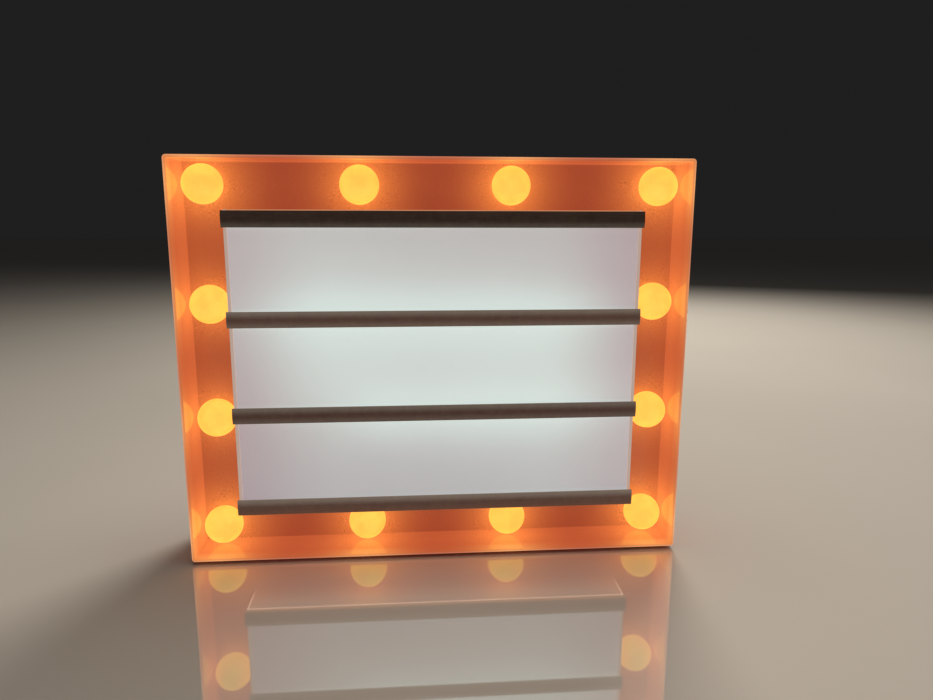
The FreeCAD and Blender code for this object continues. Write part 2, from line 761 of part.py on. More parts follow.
def marquee_row_board(name, b):
    """The board behind the top or bottom row of bulbs."""
    body = piece(name)
    z = f"{b} * {BULB_Z}"
    sk = front_sketch(body, BOARD_FRONT)
    rectangle(sk, "(3 * bulb_pitch_x + 2 * board_end)", "board_width", "0", z)
    circles(sk, SMALL_HOLE, [place for place in ROW_SCREWS if place[1] == z])
    pad_back(body, sk, "board_thickness")
    sk = front_sketch(body, BOARD_BACK)
    rectangle(sk, "plug_width", "plug_height", "board_plug_x", z)
    pad_back(body, sk, "plug_depth")


def marquee_side_board(name, a):
    body = piece(name)
    x = f"{a} * {BULB_X}"
    sk = front_sketch(body, BOARD_FRONT)
    rectangle(sk, "board_width", "(bulb_pitch_z + 2 * side_board_end)", x, "0")
    circles(sk, SMALL_HOLE, [place for place in SIDE_SCREWS if place[0] == x])
    pad_back(body, sk, "board_thickness")


def light_tray():
    """The white tray behind the screen: a back plate with four walls that reach forward."""
    body = piece("light_tray")
    margin = "2 * tray_screw_margin"
    sk = front_sketch(body, BOARD_FRONT)
    rectangle(sk, f"(2 * {TRAY_POST_X} + {margin})", f"(2 * {TRAY_POST_Z} + {margin})")
    circles(sk, SMALL_HOLE, TRAY_PLACES)
    rectangle(sk, "(plug_width + 2 * plug_window_gap)", "(plug_height + 2 * plug_window_gap)",
              "screen_plug_x", "0")
    pad_back(body, sk, "tray_wall")
    outer_width = f"({BOX_INNER_WIDTH} - 2 * tray_clearance)"
    outer_height = f"({BOX_INNER_HEIGHT} - 2 * tray_clearance)"
    sk = front_sketch(body, BOARD_FRONT)
    rectangle(sk, outer_width, outer_height)
    rectangle(sk, f"({outer_width} - 2 * tray_wall)", f"({outer_height} - 2 * tray_wall)")
    pad_front(body, sk, f"{BOARD_FRONT} - {LEDGE_BACK} - tray_end_gap")


def screen_led_board():
    body = piece("screen_led_board")
    sk = front_sketch(body, BOARD_FRONT)
    rectangle(sk, "screen_board_length", "screen_board_width")
    pad_front(body, sk, "board_thickness")
    sk = front_sketch(body, BOARD_FRONT)
    rectangle(sk, "plug_width", "plug_height", "screen_plug_x", "0")
    pad_back(body, sk, "tray_wall + plug_depth")


# %% Screws: a head above depth 0, a shank towards the front, a cross recess


def screw_master(kind):
    master = new_body(f"{kind}_screw_master")
    head, high = f"{kind}_head_radius", f"{kind}_head_height"
    shank = f"{kind}_shank_radius"
    length = "cover_screw_length" if kind == "cover" else "small_screw_length"
    sk = sketch(master, "XY_Plane")
    outline(sk, [("0", high), (f"0.7 * {head}", high), (head, f"0.5 * {high}"), (head, "0"),
                 (shank, "0"), (shank, f"{shank} - {length}"), (f"0.3 * {shank}", f"-{length}"),
                 ("0", f"-{length}")])
    revolve(master, sk)
    sk = front_sketch(master, high)
    arm, half = f"0.6 * {head}", "recess_width / 2"
    outline(sk, [(half, half), (half, arm), (f"-{half}", arm), (f"-{half}", half), (f"-{arm}", half),
                 (f"-{arm}", f"-{half}"), (f"-{half}", f"-{half}"), (f"-{half}", f"-{arm}"),
                 (half, f"-{arm}"), (half, f"-{half}"), (arm, f"-{half}"), (arm, half)])
    cut_front(master, sk, f"0.6 * {high}")
    return master


def screw_groups():
    cover, small = screw_master("cover"), screw_master("small")
    group("cover_screws", [(cover, x, HEAD_SEAT, z, AS_MADE) for x, z in BOSS_PLACES])
    group("tray_screws", [(small, x, TRAY_BACK, z, AS_MADE) for x, z in TRAY_PLACES])
    boards = ROW_SCREWS + SIDE_SCREWS
    group("led_board_screws", [(small, x, BOARD_BACK, z, AS_MADE) for x, z in boards])
    group("control_board_screws", [(small, x, CONTROL_FRONT, z, TURNED_ROUND) for x, z in CONTROL_PLACES])
    ear = f"({POCKET_BACK} - switch_ear)"
    group("switch_screws", [(small, x, ear, z, TURNED_ROUND) for x, z in SWITCH_PLACES])


# %% Rear cover


def rear_cover():
    body = piece("rear_cover")
    inside_width, inside_height = f"(case_width - 2 * {COVER_WALL})", f"(case_height - 2 * {COVER_WALL})"
    sk = front_sketch(body, "shell_depth")
    rounded_rectangle(sk, "case_width", "case_height", "corner_radius")
    pad_back(body, sk, "case_depth - shell_depth")
    round_edges(body, "cover_rounding", lambda e: lies_at(e, "Y", "case_depth"))
    sk = front_sketch(body, "shell_depth")
    rectangle(sk, inside_width, inside_height)
    cut_back(body, sk, f"{COVER_INNER} - shell_depth")
    # the rim that laps inside the front shell
    sk = front_sketch(body, "shell_depth")
    rounded_rectangle(sk, f"({INNER_WIDTH} - 2 * lap_clearance)",
                      f"({INNER_HEIGHT} - 2 * lap_clearance)", "inner_radius")
    rectangle(sk, inside_width, inside_height)
    pad_front(body, sk, "lap_length")
    # screw pillars, each with a slim nose that meets its boss, and a sunk seat for the head
    sk = front_sketch(body, BOSS_END)
    circles(sk, "(boss_inset - lap_clearance)", BOSS_PLACES)
    pad_back(body, sk, f"{COVER_INNER} - {BOSS_END}")
    sk = front_sketch(body, "shell_depth")
    circles(sk, "pillar_radius", BOSS_PLACES)
    pad_back(body, sk, f"{COVER_INNER} - shell_depth")
    sk = front_sketch(body, BOSS_END)
    circles(sk, COVER_HOLE, BOSS_PLACES)
    cut_back(body, sk, f"case_depth - {BOSS_END}")
    sk = front_sketch(body, "case_depth")
    circles(sk, "(cover_head_radius + head_clearance)", BOSS_PLACES)
    cut_front(body, sk, "head_seat")
    battery_opening(body)
    switch_and_socket_places(body)
    # posts for the control board
    sk = front_sketch(body, COVER_INNER)
    circles(sk, "control_post_radius", CONTROL_PLACES)
    pad_front(body, sk, "control_post_height")
    sk = front_sketch(body, f"({COVER_INNER} - control_post_height)")
    circles(sk, SMALL_PILOT, CONTROL_PLACES)
    cut_back(body, sk, "small_screw_length")
    # wall-hanging keyholes: a round entry with a narrow slot above it
    for a in SIGNS:
        x = f"{a} * keyhole_x"
        sk = front_sketch(body, COVER_INNER)
        circle(sk, "keyhole_radius", x, "keyhole_z")
        cut_back(body, sk, "cover_plate")
        sk = front_sketch(body, COVER_INNER)
        rectangle(sk, "(2 * keyhole_slot_radius)", "keyhole_rise", x, "(keyhole_z + keyhole_rise / 2)")
        cut_back(body, sk, "cover_plate")
        sk = front_sketch(body, COVER_INNER)
        circle(sk, "keyhole_slot_radius", x, "(keyhole_z + keyhole_rise)")
        cut_back(body, sk, "cover_plate")


def battery_opening(body):
    """The opening that the door closes, with an ear and bore for each trunnion."""
    sk = front_sketch(body, COVER_INNER)
    rectangle(sk, f"({DOOR_WIDTH} + 2 * door_gap)", f"({DOOR_HEIGHT} + 2 * door_gap)", "0", DOOR_MIDDLE)
    cut_back(body, sk, "cover_plate")
    for a in SIGNS:
        sk = front_sketch(body, f"({COVER_INNER} - ear_height / 2)")
        x = f"{a} * ({DOOR_WIDTH} / 2 + door_gap + ear_width / 2)"
        rectangle(sk, "ear_width", "ear_height", x, HINGE_Z)
        pad_back(body, sk, "ear_height / 2")
    sk = sketch(body, "YZ_Plane")
    circle(sk, "(trunnion_radius + trunnion_clearance)", HINGE_DEPTH, HINGE_Z)
    bore = grow("Pocket", body, sk, f"{DOOR_WIDTH} + 2 * door_gap + 2 * trunnion_length", False)
    bore.SideType = "Symmetric"


def switch_and_socket_places(body):
    """A sunk pocket for the switch knob and one for the power socket, with solid rims."""
    deeper = f"{COVER_INNER} - {POCKET_BACK}"
    sk = front_sketch(body, COVER_INNER)
    rectangle(sk, "(pocket_width + 3 * pocket_rim)", "(pocket_height + pocket_rim)",
              "control_x", "switch_z")
    circle(sk, "(socket_pocket_radius + pocket_rim / 2)", "control_x", "socket_z")
    pad_front(body, sk, deeper)
    sk = front_sketch(body, "case_depth")
    rectangle(sk, "pocket_width", "pocket_height", "control_x", "switch_z")
    circle(sk, "socket_pocket_radius", "control_x", "socket_z")
    cut_front(body, sk, "pocket_depth")
    sk = front_sketch(body, POCKET_BACK)
    rectangle(sk, "(knob_stem_width + knob_travel + 2 * knob_clearance)",
              "(knob_stem_height + 2 * knob_clearance)", "control_x", "switch_z")
    circle(sk, "(socket_radius + socket_clearance)", "control_x", "socket_z")
    cut_back(body, sk, "pocket_floor")
    sk = front_sketch(body, POCKET_BACK)
    circles(sk, SMALL_PILOT, SWITCH_PLACES)
    cut_back(body, sk, "small_screw_length - switch_ear + pilot_spare")


# %% Battery box, cells, contacts and door


def battery_box():
    body = piece("battery_box")
    floor_back = f"({BAY_FLOOR} - bay_wall)"
    sk = front_sketch(body, floor_back)
    rectangle(sk, BAY_OUTER_WIDTH, "(bay_height + 2 * bay_wall)", "0", "bay_z")
    pad_back(body, sk, f"{COVER_INNER} - {floor_back}")
    # the flange that is glued round the cover's opening, open at the hinge and at the snap finger
    low, high = f"({HINGE_Z} + ear_height / 2 + hinge_room)", f"({BAY_TOP} + bay_flange)"
    sk = front_sketch(body, f"({COVER_INNER} - bay_flange_thickness)")
    rectangle(sk, f"({BAY_OUTER_WIDTH} + 2 * bay_flange)", f"({high} - {low})",
              "0", f"(({high} + {low}) / 2)")
    pad_back(body, sk, "bay_flange_thickness")
    sk = front_sketch(body, COVER_INNER)
    rectangle(sk, "(finger_width + 2 * finger_room)", "bay_flange", "0",
              f"({BAY_TOP} + finger_notch_gap + bay_flange / 2)")
    cut_front(body, sk, "bay_flange_thickness")
    sk = front_sketch(body, COVER_INNER)
    rectangle(sk, BAY_WIDTH, "bay_height", "0", "bay_z")
    cut_front(body, sk, f"{COVER_INNER} - {BAY_FLOOR}")
    # low ribs that keep the cells apart
    sk = front_sketch(body, BAY_FLOOR)
    for i in range(1, int(SIZES["cell_count"])):
        x = f"({i} - cell_count / 2) * cell_pitch"
        rectangle(sk, "bay_rib_width", "(cell_length - 2 * bay_rib_margin)", x, "bay_z")
    pad_back(body, sk, "bay_rib_height")


def cell_places():
    """Each cell's x and which way its button end points: up for the even ones."""
    count = int(SIZES["cell_count"])
    return [(f"({i} - (cell_count - 1) / 2) * cell_pitch", 1 if i % 2 == 0 else -1) for i in range(count)]


def battery_cell(number, x, way):
    lift = "(bay_height / 2 - contact_thickness - contact_gap - cell_length / 2)"
    body = piece(f"battery_cell_{number}", x=x, depth=CELL_DEPTH, z=f"bay_z + {way} * {lift}")
    body.Placement.Rotation = AS_MADE if way > 0 else UPSIDE_DOWN
    shoulder, end = "(cell_length / 2 - cell_nub_height)", "cell_length / 2"
    soft = "cell_rounding"
    sk = sketch(body, "XZ_Plane")
    outline(sk, [("0", f"-{end}"), (f"cell_radius - {soft}", f"-{end}"),
                 ("cell_radius", f"{soft} - {end}"), ("cell_radius", f"{shoulder} - {soft}"),
                 (f"cell_radius - {soft}", shoulder), ("cell_nub_radius", shoulder),
                 ("cell_nub_radius", end), ("0", end)])
    revolve(body, sk)


def battery_contacts():
    """Thin plates at the ends of the bay that join the cells one after the other."""
    masters = {}
    for kind, width in (("pair", "(cell_pitch + contact_width)"), ("single", "contact_width")):
        masters[kind] = new_body(f"{kind}_contact_master")
        sk = sketch(masters[kind], "XY_Plane")
        rectangle(sk, width, "contact_width")
        pad_both(masters[kind], sk, "contact_thickness")
    count = int(SIZES["cell_count"])
    reach = "(bay_height / 2 - contact_thickness / 2)"
    plates = []
    for i in range(0, count - 1, 2):
        plates.append(("pair", f"({i} + 0.5 - (cell_count - 1) / 2) * cell_pitch", 1))
    for i in range(1, count - 1, 2):
        plates.append(("pair", f"({i} + 0.5 - (cell_count - 1) / 2) * cell_pitch", -1))
    for a in SIGNS:
        plates.append(("single", f"{a} * (cell_count - 1) / 2 * cell_pitch", -1))
    group("battery_contacts", [(masters[kind], x, CELL_DEPTH, f"bay_z + {way} * {reach}", AS_MADE)
                               for kind, x, way in plates])


def battery_springs():
    """A coil between each cell's flat end and the contact plate behind it."""
    free = "(bay_height - 2 * contact_thickness - cell_length - contact_gap)"
    coil_height = f"({free} - 2 * spring_wire_radius - 2 * contact_gap)"
    coil = doc.addObject("Part::Helix", "spring_coil")
    bind(coil, "Radius", "spring_radius")
    bind(coil, "Height", coil_height)
    bind(coil, "Pitch", f"{coil_height} / spring_turns")
    coil.SegmentLength = 0.5
    wire = doc.addObject("Part::Circle", "spring_wire")
    bind(wire, "Radius", "spring_wire_radius")
    wire.Placement.Rotation = FreeCAD.Rotation(V(1, 0, 0), 90)
    bind(wire, "Placement.Base.x", "spring_radius")
    master = doc.addObject("Part::Sweep", "spring_master")
    master.Spine = (coil, [])
    master.Sections = [wire]
    master.Solid = True
    master.Frenet = True
    start = "(bay_height / 2 - contact_thickness - contact_gap - spring_wire_radius)"
    group("battery_springs", [(master, x, CELL_DEPTH, f"bay_z - {way} * {start}",
                               AS_MADE if way > 0 else UPSIDE_DOWN) for x, way in cell_places()])


def battery_door():
    body = piece("battery_door")
    sk = front_sketch(body, DOOR_INNER)
    rectangle(sk, DOOR_WIDTH, DOOR_HEIGHT, "0", DOOR_MIDDLE)
    pad_back(body, sk, f"case_depth - {DOOR_INNER}")
    round_edges(body, "hinge_rounding",
                lambda e: lies_at(e, "Y", "case_depth") and lies_at(e, "Z", DOOR_BOTTOM))
    # a round lug at each end of the hinge line, and a trunnion that stands out of it
    for a, reverse in ((1, True), (-1, False)):
        sk = sketch(body, "YZ_Plane", f"{a} * {DOOR_WIDTH} / 2")
        circle(sk, "(hinge_radius - hinge_relief)", HINGE_DEPTH, HINGE_Z)
        grow("Pad", body, sk, "lug_width", reverse)
        sk = sketch(body, "YZ_Plane", f"{a} * {DOOR_WIDTH} / 2")
        circle(sk, "trunnion_radius", HINGE_DEPTH, HINGE_Z)
        grow("Pad", body, sk, "trunnion_length", not reverse)
    # the snap finger with its bead
    top = f"({DOOR_TOP} - finger_drop)"
    tip = f"({DOOR_INNER} - finger_length)"
    bead = f"({COVER_INNER} - 2 * finger_bead)"
    sk = sketch(body, "YZ_Plane")
    root = f"({DOOR_INNER} + finger_root)"
    outline(sk, [(root, f"{top} - finger_thickness"), (root, top),
                 (f"{bead} + finger_bead", top), (bead, f"{top} + finger_bead"),
                 (f"{bead} - finger_bead", top), (tip, top), (tip, f"{top} - finger_thickness")])
    pad_both(body, sk, "finger_width")
    # grip grooves under the top edge
    sk = front_sketch(body, "case_depth")
    for i in (2, 3, 4):
        rectangle(sk, "grip_width", "grip_height", "0", f"{DOOR_TOP} - {i} * grip_pitch")
    cut_front(body, sk, "grip_depth")


# %% Switch, power socket and control board


def switch_body():
    body = piece("switch_body", x="control_x", z="switch_z")
    block_back = f"({POCKET_BACK} - switch_ear)"
    front = f"({block_back} - switch_body_depth)"
    sk = front_sketch(body, front)
    rectangle(sk, "switch_width", "switch_height")
    pad_back(body, sk, f"{POCKET_BACK} - {front}")
    sk = front_sketch(body, block_back)
    rectangle(sk, "(2 * switch_screw_x + switch_height)", "switch_height")
    pad_back(body, sk, "switch_ear")
    sk = front_sketch(body, block_back)
    circles(sk, SMALL_HOLE, [(f"{a} * switch_screw_x", "0") for a in SIGNS])
    cut_back(body, sk, "switch_ear")
    sk = front_sketch(body, POCKET_BACK)
    rectangle(sk, "(knob_stem_width + knob_travel + 2 * knob_clearance)",
              "(knob_stem_height + 2 * knob_clearance)")
    cut_front(body, sk, "knob_stem_depth + knob_clearance")
    sk = front_sketch(body, front)
    for i in (-1, 0, 1):
        rectangle(sk, "switch_tab_thickness", "switch_tab_width", f"{i} * switch_tab_pitch", "0")
    pad_front(body, sk, "switch_tab_length")


def switch_knob():
    body = piece("switch_knob", x=KNOB_X, z="switch_z")
    cap_front = f"({POCKET_FLOOR} + knob_lift)"
    sk = front_sketch(body, cap_front)
    rectangle(sk, "knob_width", "knob_height")
    pad_back(body, sk, f"case_depth - knob_below_face - {cap_front}")
    sk = front_sketch(body, cap_front)
    rectangle(sk, "knob_stem_width", "knob_stem_height")
    pad_front(body, sk, f"{cap_front} - {POCKET_BACK} + knob_stem_depth")
    sk = front_sketch(body, "(case_depth - knob_below_face)")
    for i in (-1, 0, 1):
        rectangle(sk, "knob_groove", "(knob_height - 2 * knob_groove)", f"{i} * knob_width / 4", "0")
    cut_front(body, sk, "knob_below_face")


def dc_socket():
    body = piece("dc_socket", x="control_x", z="socket_z")
    front = f"({POCKET_FLOOR} - socket_length)"
    rim = f"({POCKET_FLOOR} + socket_flange)"
    bottom = f"({rim} - socket_bore_depth)"
    sk = sketch(body, "XY_Plane")
    outline(sk, [("0", front), ("socket_radius", front), ("socket_radius", POCKET_FLOOR),
                 ("socket_flange_radius", POCKET_FLOOR), ("socket_flange_radius", rim),
                 ("socket_bore_radius", rim), ("socket_bore_radius", bottom),
                 ("socket_pin_radius", bottom), ("socket_pin_radius", f"{rim} - socket_pin_recess"),
                 ("0", f"{rim} - socket_pin_recess")])
    revolve(body, sk)
    sk = front_sketch(body, front)
    rectangle(sk, "socket_block_width", "socket_block_width")
    pad_front(body, sk, "socket_block_depth")


def dc_socket_nut():
    body = piece("dc_socket_nut", x="control_x", z="socket_z")
    corner = "nut_flats / sqrt(3)"
    sk = front_sketch(body, f"({POCKET_BACK} - nut_thickness)")
    outline(sk, [(corner, "0"), (f"{corner} / 2", "nut_flats / 2"), (f"-{corner} / 2", "nut_flats / 2"),
                 (f"-{corner}", "0"), (f"-{corner} / 2", "-nut_flats / 2"),
                 (f"{corner} / 2", "-nut_flats / 2")])
    circle(sk, "(socket_radius + pilot_clearance)")
    pad_back(body, sk, "nut_thickness")


def control_board():
    body = piece("control_board", x="control_board_x", z="control_board_z")
    sk = front_sketch(body, CONTROL_FRONT)
    rectangle(sk, "control_board_width", "control_board_height")
    circles(sk, SMALL_HOLE, four(CONTROL_POST_X, CONTROL_POST_Z))
    pad_back(body, sk, "control_board_thickness")


def board_components():
    """What is soldered to the control board: plugs on three edges, a chip, a coil, a capacitor."""
    low, high = f"({CONTROL_BOTTOM} - control_board_z)", f"({CONTROL_TOP} - control_board_z)"
    left = f"({CONTROL_LEFT} - control_board_x)"
    inset = "component_plug_depth / 2"
    # width, height, x and z from the middle of the board, and how far it stands out
    wide, deep, rise = "component_plug_width", "component_plug_depth", "component_plug_rise"
    low_row, high_row = f"{low} + {inset}", f"{high} - {inset}"
    chip_x, chip_z = f"0.2 * {CONTROL_POST_X}", f"0.14 * {CONTROL_POST_Z}"
    coil_x, coil_z = f"0.75 * {CONTROL_POST_X}", f"0.07 * {CONTROL_POST_Z}"
    blocks = {
        "battery_plug": (wide, deep, f"-{PLUG_X}", low_row, rise),
        "power_plug": (wide, deep, PLUG_X, low_row, rise),
        "marquee_plug": ("small_plug_width", deep, f"-{MARQUEE_PLUG_X}", high_row, rise),
        "screen_plug": (deep, "small_plug_width", f"{left} + {inset}", SCREEN_PLUG_Z, rise),
        "chip": ("chip_width", "chip_width", chip_x, chip_z, "chip_height"),
        "coil": ("coil_width", "coil_width", coil_x, coil_z, "coil_height"),
    }
    solids = []
    for name, (width, height, x, z, tall) in blocks.items():
        block = doc.addObject("Part::Box", name)
        bind(block, "Length", width)
        bind(block, "Width", tall)
        bind(block, "Height", height)
        place_in_case(block, f"control_board_x + {x} - {width} / 2", f"{CONTROL_FRONT} - {tall}",
                      f"control_board_z + {z} - {height} / 2")
        solids.append(block)
    can = doc.addObject("Part::Cylinder", "capacitor")
    can.Placement.Rotation = FreeCAD.Rotation(V(1, 0, 0), 90)
    bind(can, "Radius", "capacitor_radius")
    bind(can, "Height", "capacitor_height")
    place_in_case(can, f"control_board_x - 0.35 * {CONTROL_POST_X}", CONTROL_FRONT,
                  f"control_board_z + {SCREEN_PLUG_Z}")
    solids.append(can)
    compound = doc.addObject("Part::Compound", "board_components")
    compound.Label = "board_components"
    compound.Links = solids
    PIECES.append(compound)


# %% Feet


def rubber_foot(name, a, depth):
    body = piece(name, x=f"{a} * (case_width / 2 - foot_inset)", depth=depth,
                 z="-case_height / 2 - foot_height")
    sk = sketch(body, "XY_Plane")
    circle(sk, "foot_radius")
    grow("Pad", body, sk, "foot_height + foot_recess", False)
    round_edges(body, "foot_chamfer", lambda e: lies_at(e, "Z", "0"), "Chamfer", "Size")


# %% Leads: round wire along straight runs joined by arcs


def lead(name, route):
    """A lead through the points of its route, each x, depth, z from the middle of the case."""
    points = [V(value(x), value(f"{LIP_Y} + {depth}"), value(f"{CASE_Z} + {z}")) for x, depth, z in route]
    edges, start, tightest = [], points[0], None
    for before, corner, after in zip(points, points[1:], points[2:]):
        way_in = (corner - before).normalize()
        way_out = (after - corner).normalize()
        turn = way_in.getAngle(way_out)
        reach = 0.45 * min((corner - before).Length, (after - corner).Length)
        radius = reach / math.tan(turn / 2)
        tightest = min(radius, tightest or radius)
        begin, end = corner - way_in * reach, corner + way_out * reach
        bisector = (way_out - way_in).normalize()
        middle = corner + bisector * (radius / math.cos(turn / 2) - radius)
        edges.append(Part.LineSegment(start, begin).toShape())
        edges.append(Part.Arc(begin, middle, end).toShape())
        start = end
    edges.append(Part.LineSegment(start, points[-1]).toShape())
    path = Part.Wire(edges)
    ring = Part.Wire(Part.Circle(points[0], points[1] - points[0], value("lead_radius")).toShape())
    shape = path.makePipeShell([ring], True, False)
    expected = math.pi * value("lead_radius") ** 2 * path.Length
    print(f"{name}: length {path.Length:.1f}, tightest radius {tightest:.1f}, "
          f"volume share {shape.Volume / expected:.4f}")
    feature = doc.addObject("Part::Feature", name)
    feature.Label = name
    feature.Shape = shape
    feature.Placement = FreeCAD.Placement()
    PIECES.append(feature)


def leads():
    box_side = f"({BAY_OUTER_WIDTH} / 2)"
    plug = f"({CONTROL_FRONT} - component_plug_rise / 2)"
    switch_left, switch_top = "(control_x - switch_width / 2)", "(switch_z + switch_height / 2)"
    mid_switch = f"({POCKET_BACK} - switch_ear - switch_body_depth / 2)"
    bottom = CONTROL_BOTTOM
    to_switch = f"({switch_left} - {box_side})"
    lead("battery_lead_red", [
        (box_side, mid_switch, "switch_z + 5"),
        (f"{box_side} + 0.24 * {to_switch}", mid_switch, "switch_z + 5"),
        (f"{box_side} + 0.6 * {to_switch}", mid_switch, "switch_z + 3.5"),
        (f"{box_side} + 0.79 * {to_switch}", mid_switch, "switch_z"),
        (switch_left, mid_switch, "switch_z")])
    black_end = f"(control_board_x - {PLUG_X} - 0.4 * component_plug_width)"
    to_board = f"({black_end} - {box_side})"
    lead("battery_lead_black", [
        (box_side, f"{plug} - 2", "bay_z - 8"),
        (f"{box_side} + 0.31 * {to_board}", f"{plug} - 2", "bay_z - 8"),
        (f"{box_side} + 0.67 * {to_board}", f"{plug} - 2", "bay_z + 2"),
        (f"{box_side} + 0.78 * {to_board}", f"{plug} - 2", "bay_z + 22"),
        (f"{box_side} + 0.96 * {to_board}", f"{plug} - 1", f"{bottom} - 22"),
        (black_end, plug, f"{bottom} - 9"), (black_end, plug, bottom)])
    switch_end = f"(control_board_x - {PLUG_X} + 0.1 * component_plug_width)"
    lead("switch_lead", [
        ("control_x - 5", mid_switch, switch_top), ("control_x - 5", mid_switch, f"{switch_top} + 10"),
        ("control_x - 9", f"{plug} + 1", f"{switch_top} + 24"), (switch_end, plug, f"{bottom} - 13"),
        (switch_end, plug, bottom)])
    block = f"({POCKET_FLOOR} - socket_length - socket_block_depth / 2)"
    socket_end = f"(control_board_x + {PLUG_X} + 0.3 * component_plug_width)"
    lead("socket_lead", [
        ("control_x + socket_block_width / 2", block, "socket_z"),
        ("control_x + socket_block_width / 2 + 8", block, "socket_z"),
        ("control_x + 20", block, "socket_z + 9"), ("control_x + 22", f"{block} + 1", "socket_z + 32"),
        ("control_x + 19", plug, "socket_z + 54"), (socket_end, plug, f"{bottom} - 12"),
        (socket_end, plug, bottom)])
    row_plug = f"({BOARD_BACK} + plug_depth / 2)"
    low_edge = f"({BULB_Z} - plug_height / 2)"
    marquee_end = f"(control_board_x - {MARQUEE_PLUG_X})"
    lead("marquee_lead", [
        (marquee_end, plug, CONTROL_TOP), (marquee_end, plug, f"{CONTROL_TOP} + 9"),
        (f"{marquee_end} - 4", f"{plug} - 3", f"{CONTROL_TOP} + 20"),
        ("board_plug_x", row_plug, f"{low_edge} - 10"), ("board_plug_x", row_plug, low_edge)])
    screen_plug = f"({TRAY_BACK} + plug_depth / 2)"
    lead("screen_lead", [
        ("screen_plug_x", screen_plug, "plug_height / 2"), ("screen_plug_x", screen_plug, "14"),
        ("screen_plug_x - 3", f"{screen_plug} + 2", "26"),
        ("screen_plug_x - 3", f"{plug} - 1", "control_board_z - 6"),
        ("screen_plug_x + 1.5", plug, f"control_board_z + {SCREEN_PLUG_Z}"),
        (CONTROL_LEFT, plug, f"control_board_z + {SCREEN_PLUG_Z}")])


# %% The whole box

front_shell()
screen_panel()
for rail_name, rail_factor in RAILS.items():
    rail(rail_name, rail_factor)
for bulb_number, (bulb_x, bulb_z) in enumerate(BULB_PLACES, start=1):
    bulb_globe(bulb_number, bulb_x, bulb_z)
bulb_retaining_rings()
lamp = led_master()
marquee_row_board("top_led_board", 1)
marquee_row_board("bottom_led_board", -1)
marquee_side_board("left_led_board", -1)
marquee_side_board("right_led_board", 1)
group("marquee_leds", [(lamp, x, BOARD_FRONT, z, AS_MADE) for x, z in BULB_PLACES])
light_tray()
screen_led_board()
group("screen_leds", [(lamp, f"{k} * screen_led_pitch", f"({BOARD_FRONT} - board_thickness)", "0", AS_MADE)
                      for k in (-3, -2, -1, 1, 2, 3)])
rear_cover()
screw_groups()
battery_box()
for cell_number, (cell_x, cell_way) in enumerate(cell_places(), start=1):
    battery_cell(cell_number, cell_x, cell_way)
battery_contacts()
battery_springs()
battery_door()
switch_body()
switch_knob()
dc_socket()
dc_socket_nut()
control_board()
board_components()
for side_name, side in (("left", -1), ("right", 1)):
    rubber_foot(f"front_{side_name}_foot", side, "foot_front_depth")
    rubber_foot(f"rear_{side_name}_foot", side, "foot_rear_depth")
leads()
doc.recompute()

# %% Checks, then one STEP file for each sub-part

for thing in doc.Objects:
    if {"Invalid", "Error"} & set(thing.State):
        raise SystemExit(f"{thing.Name} failed: {thing.State}")
    if thing.TypeId == "PartDesign::Pocket":
        before = thing.BaseFeature.Shape.Volume
        if before - thing.Shape.Volume < 0.001:
            raise SystemExit(f"{thing.Name} cuts nothing")
for thing in PIECES:
    if thing.Shape.isNull() or not thing.Shape.isValid():
        raise SystemExit(f"{thing.Label} has no valid shape")

os.makedirs("parts", exist_ok=True)
for thing in PIECES:
    thing.Shape.exportStep(f"parts/{thing.Label}.step")
    print(thing.Label, len(thing.Shape.Solids), "solids", round(thing.Shape.Volume, 1), "mm3")
whole = Part.makeCompound([thing.Shape for thing in PIECES]).BoundBox
print(len(PIECES), "pieces, box", whole)
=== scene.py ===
# %% [markdown]
# # A cinema light box
#
# The object is a shallow case of one translucent coral plastic. A recess runs round its front,
# with twelve amber bulbs in it, and a raised box in the middle carries an opal screen and four
# dark rails for letter cards. Behind them sit lamp boards, a tray, a battery bay and a switch.
#
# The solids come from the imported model, in metres, each at its place. They could be modelled
# again here, but then two shapes would have to agree. So they stay, and this lesson gives each
# one its finish, adds the small pieces that are only looks, and sets up light and camera.

# %% Load the model
import bpy
import math
from mathutils import Euler, Matrix, Vector


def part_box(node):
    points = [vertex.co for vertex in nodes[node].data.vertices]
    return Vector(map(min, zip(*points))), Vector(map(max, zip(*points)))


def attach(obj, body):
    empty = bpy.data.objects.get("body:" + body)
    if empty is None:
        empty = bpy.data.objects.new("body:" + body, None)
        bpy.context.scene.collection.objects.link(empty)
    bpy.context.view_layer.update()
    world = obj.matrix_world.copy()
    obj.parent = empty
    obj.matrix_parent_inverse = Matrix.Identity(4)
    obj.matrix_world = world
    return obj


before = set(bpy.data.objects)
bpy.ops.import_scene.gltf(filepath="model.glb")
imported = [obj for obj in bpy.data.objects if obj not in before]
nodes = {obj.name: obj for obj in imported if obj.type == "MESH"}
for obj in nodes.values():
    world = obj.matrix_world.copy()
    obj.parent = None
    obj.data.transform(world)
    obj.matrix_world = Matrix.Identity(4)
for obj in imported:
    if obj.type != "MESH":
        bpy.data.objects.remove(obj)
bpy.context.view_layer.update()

# %% [markdown]
# ## Arithmetic with sockets
#
# A finish is mostly arithmetic: a mask times a colour, plus a little noise. It could be written
# as a long list of nodes and links, which hides the sum behind the plumbing. A small class that
# wraps an output socket lets the sum be written as one. A sum of plain values becomes a Math
# node. As soon as one side has three parts, a Vector Math node keeps the parts apart. All other
# nodes come from one method, which says what they are, how they are set and what feeds them.

# %% A socket that can be used in a sum
def fill(tree, made, inputs):
    """Give a node's sockets their values, or link them."""
    for name, given in inputs.items():
        if isinstance(given, Wire):
            tree.links.new(given.socket, made.inputs[name])
        else:
            made.inputs[name].default_value = given


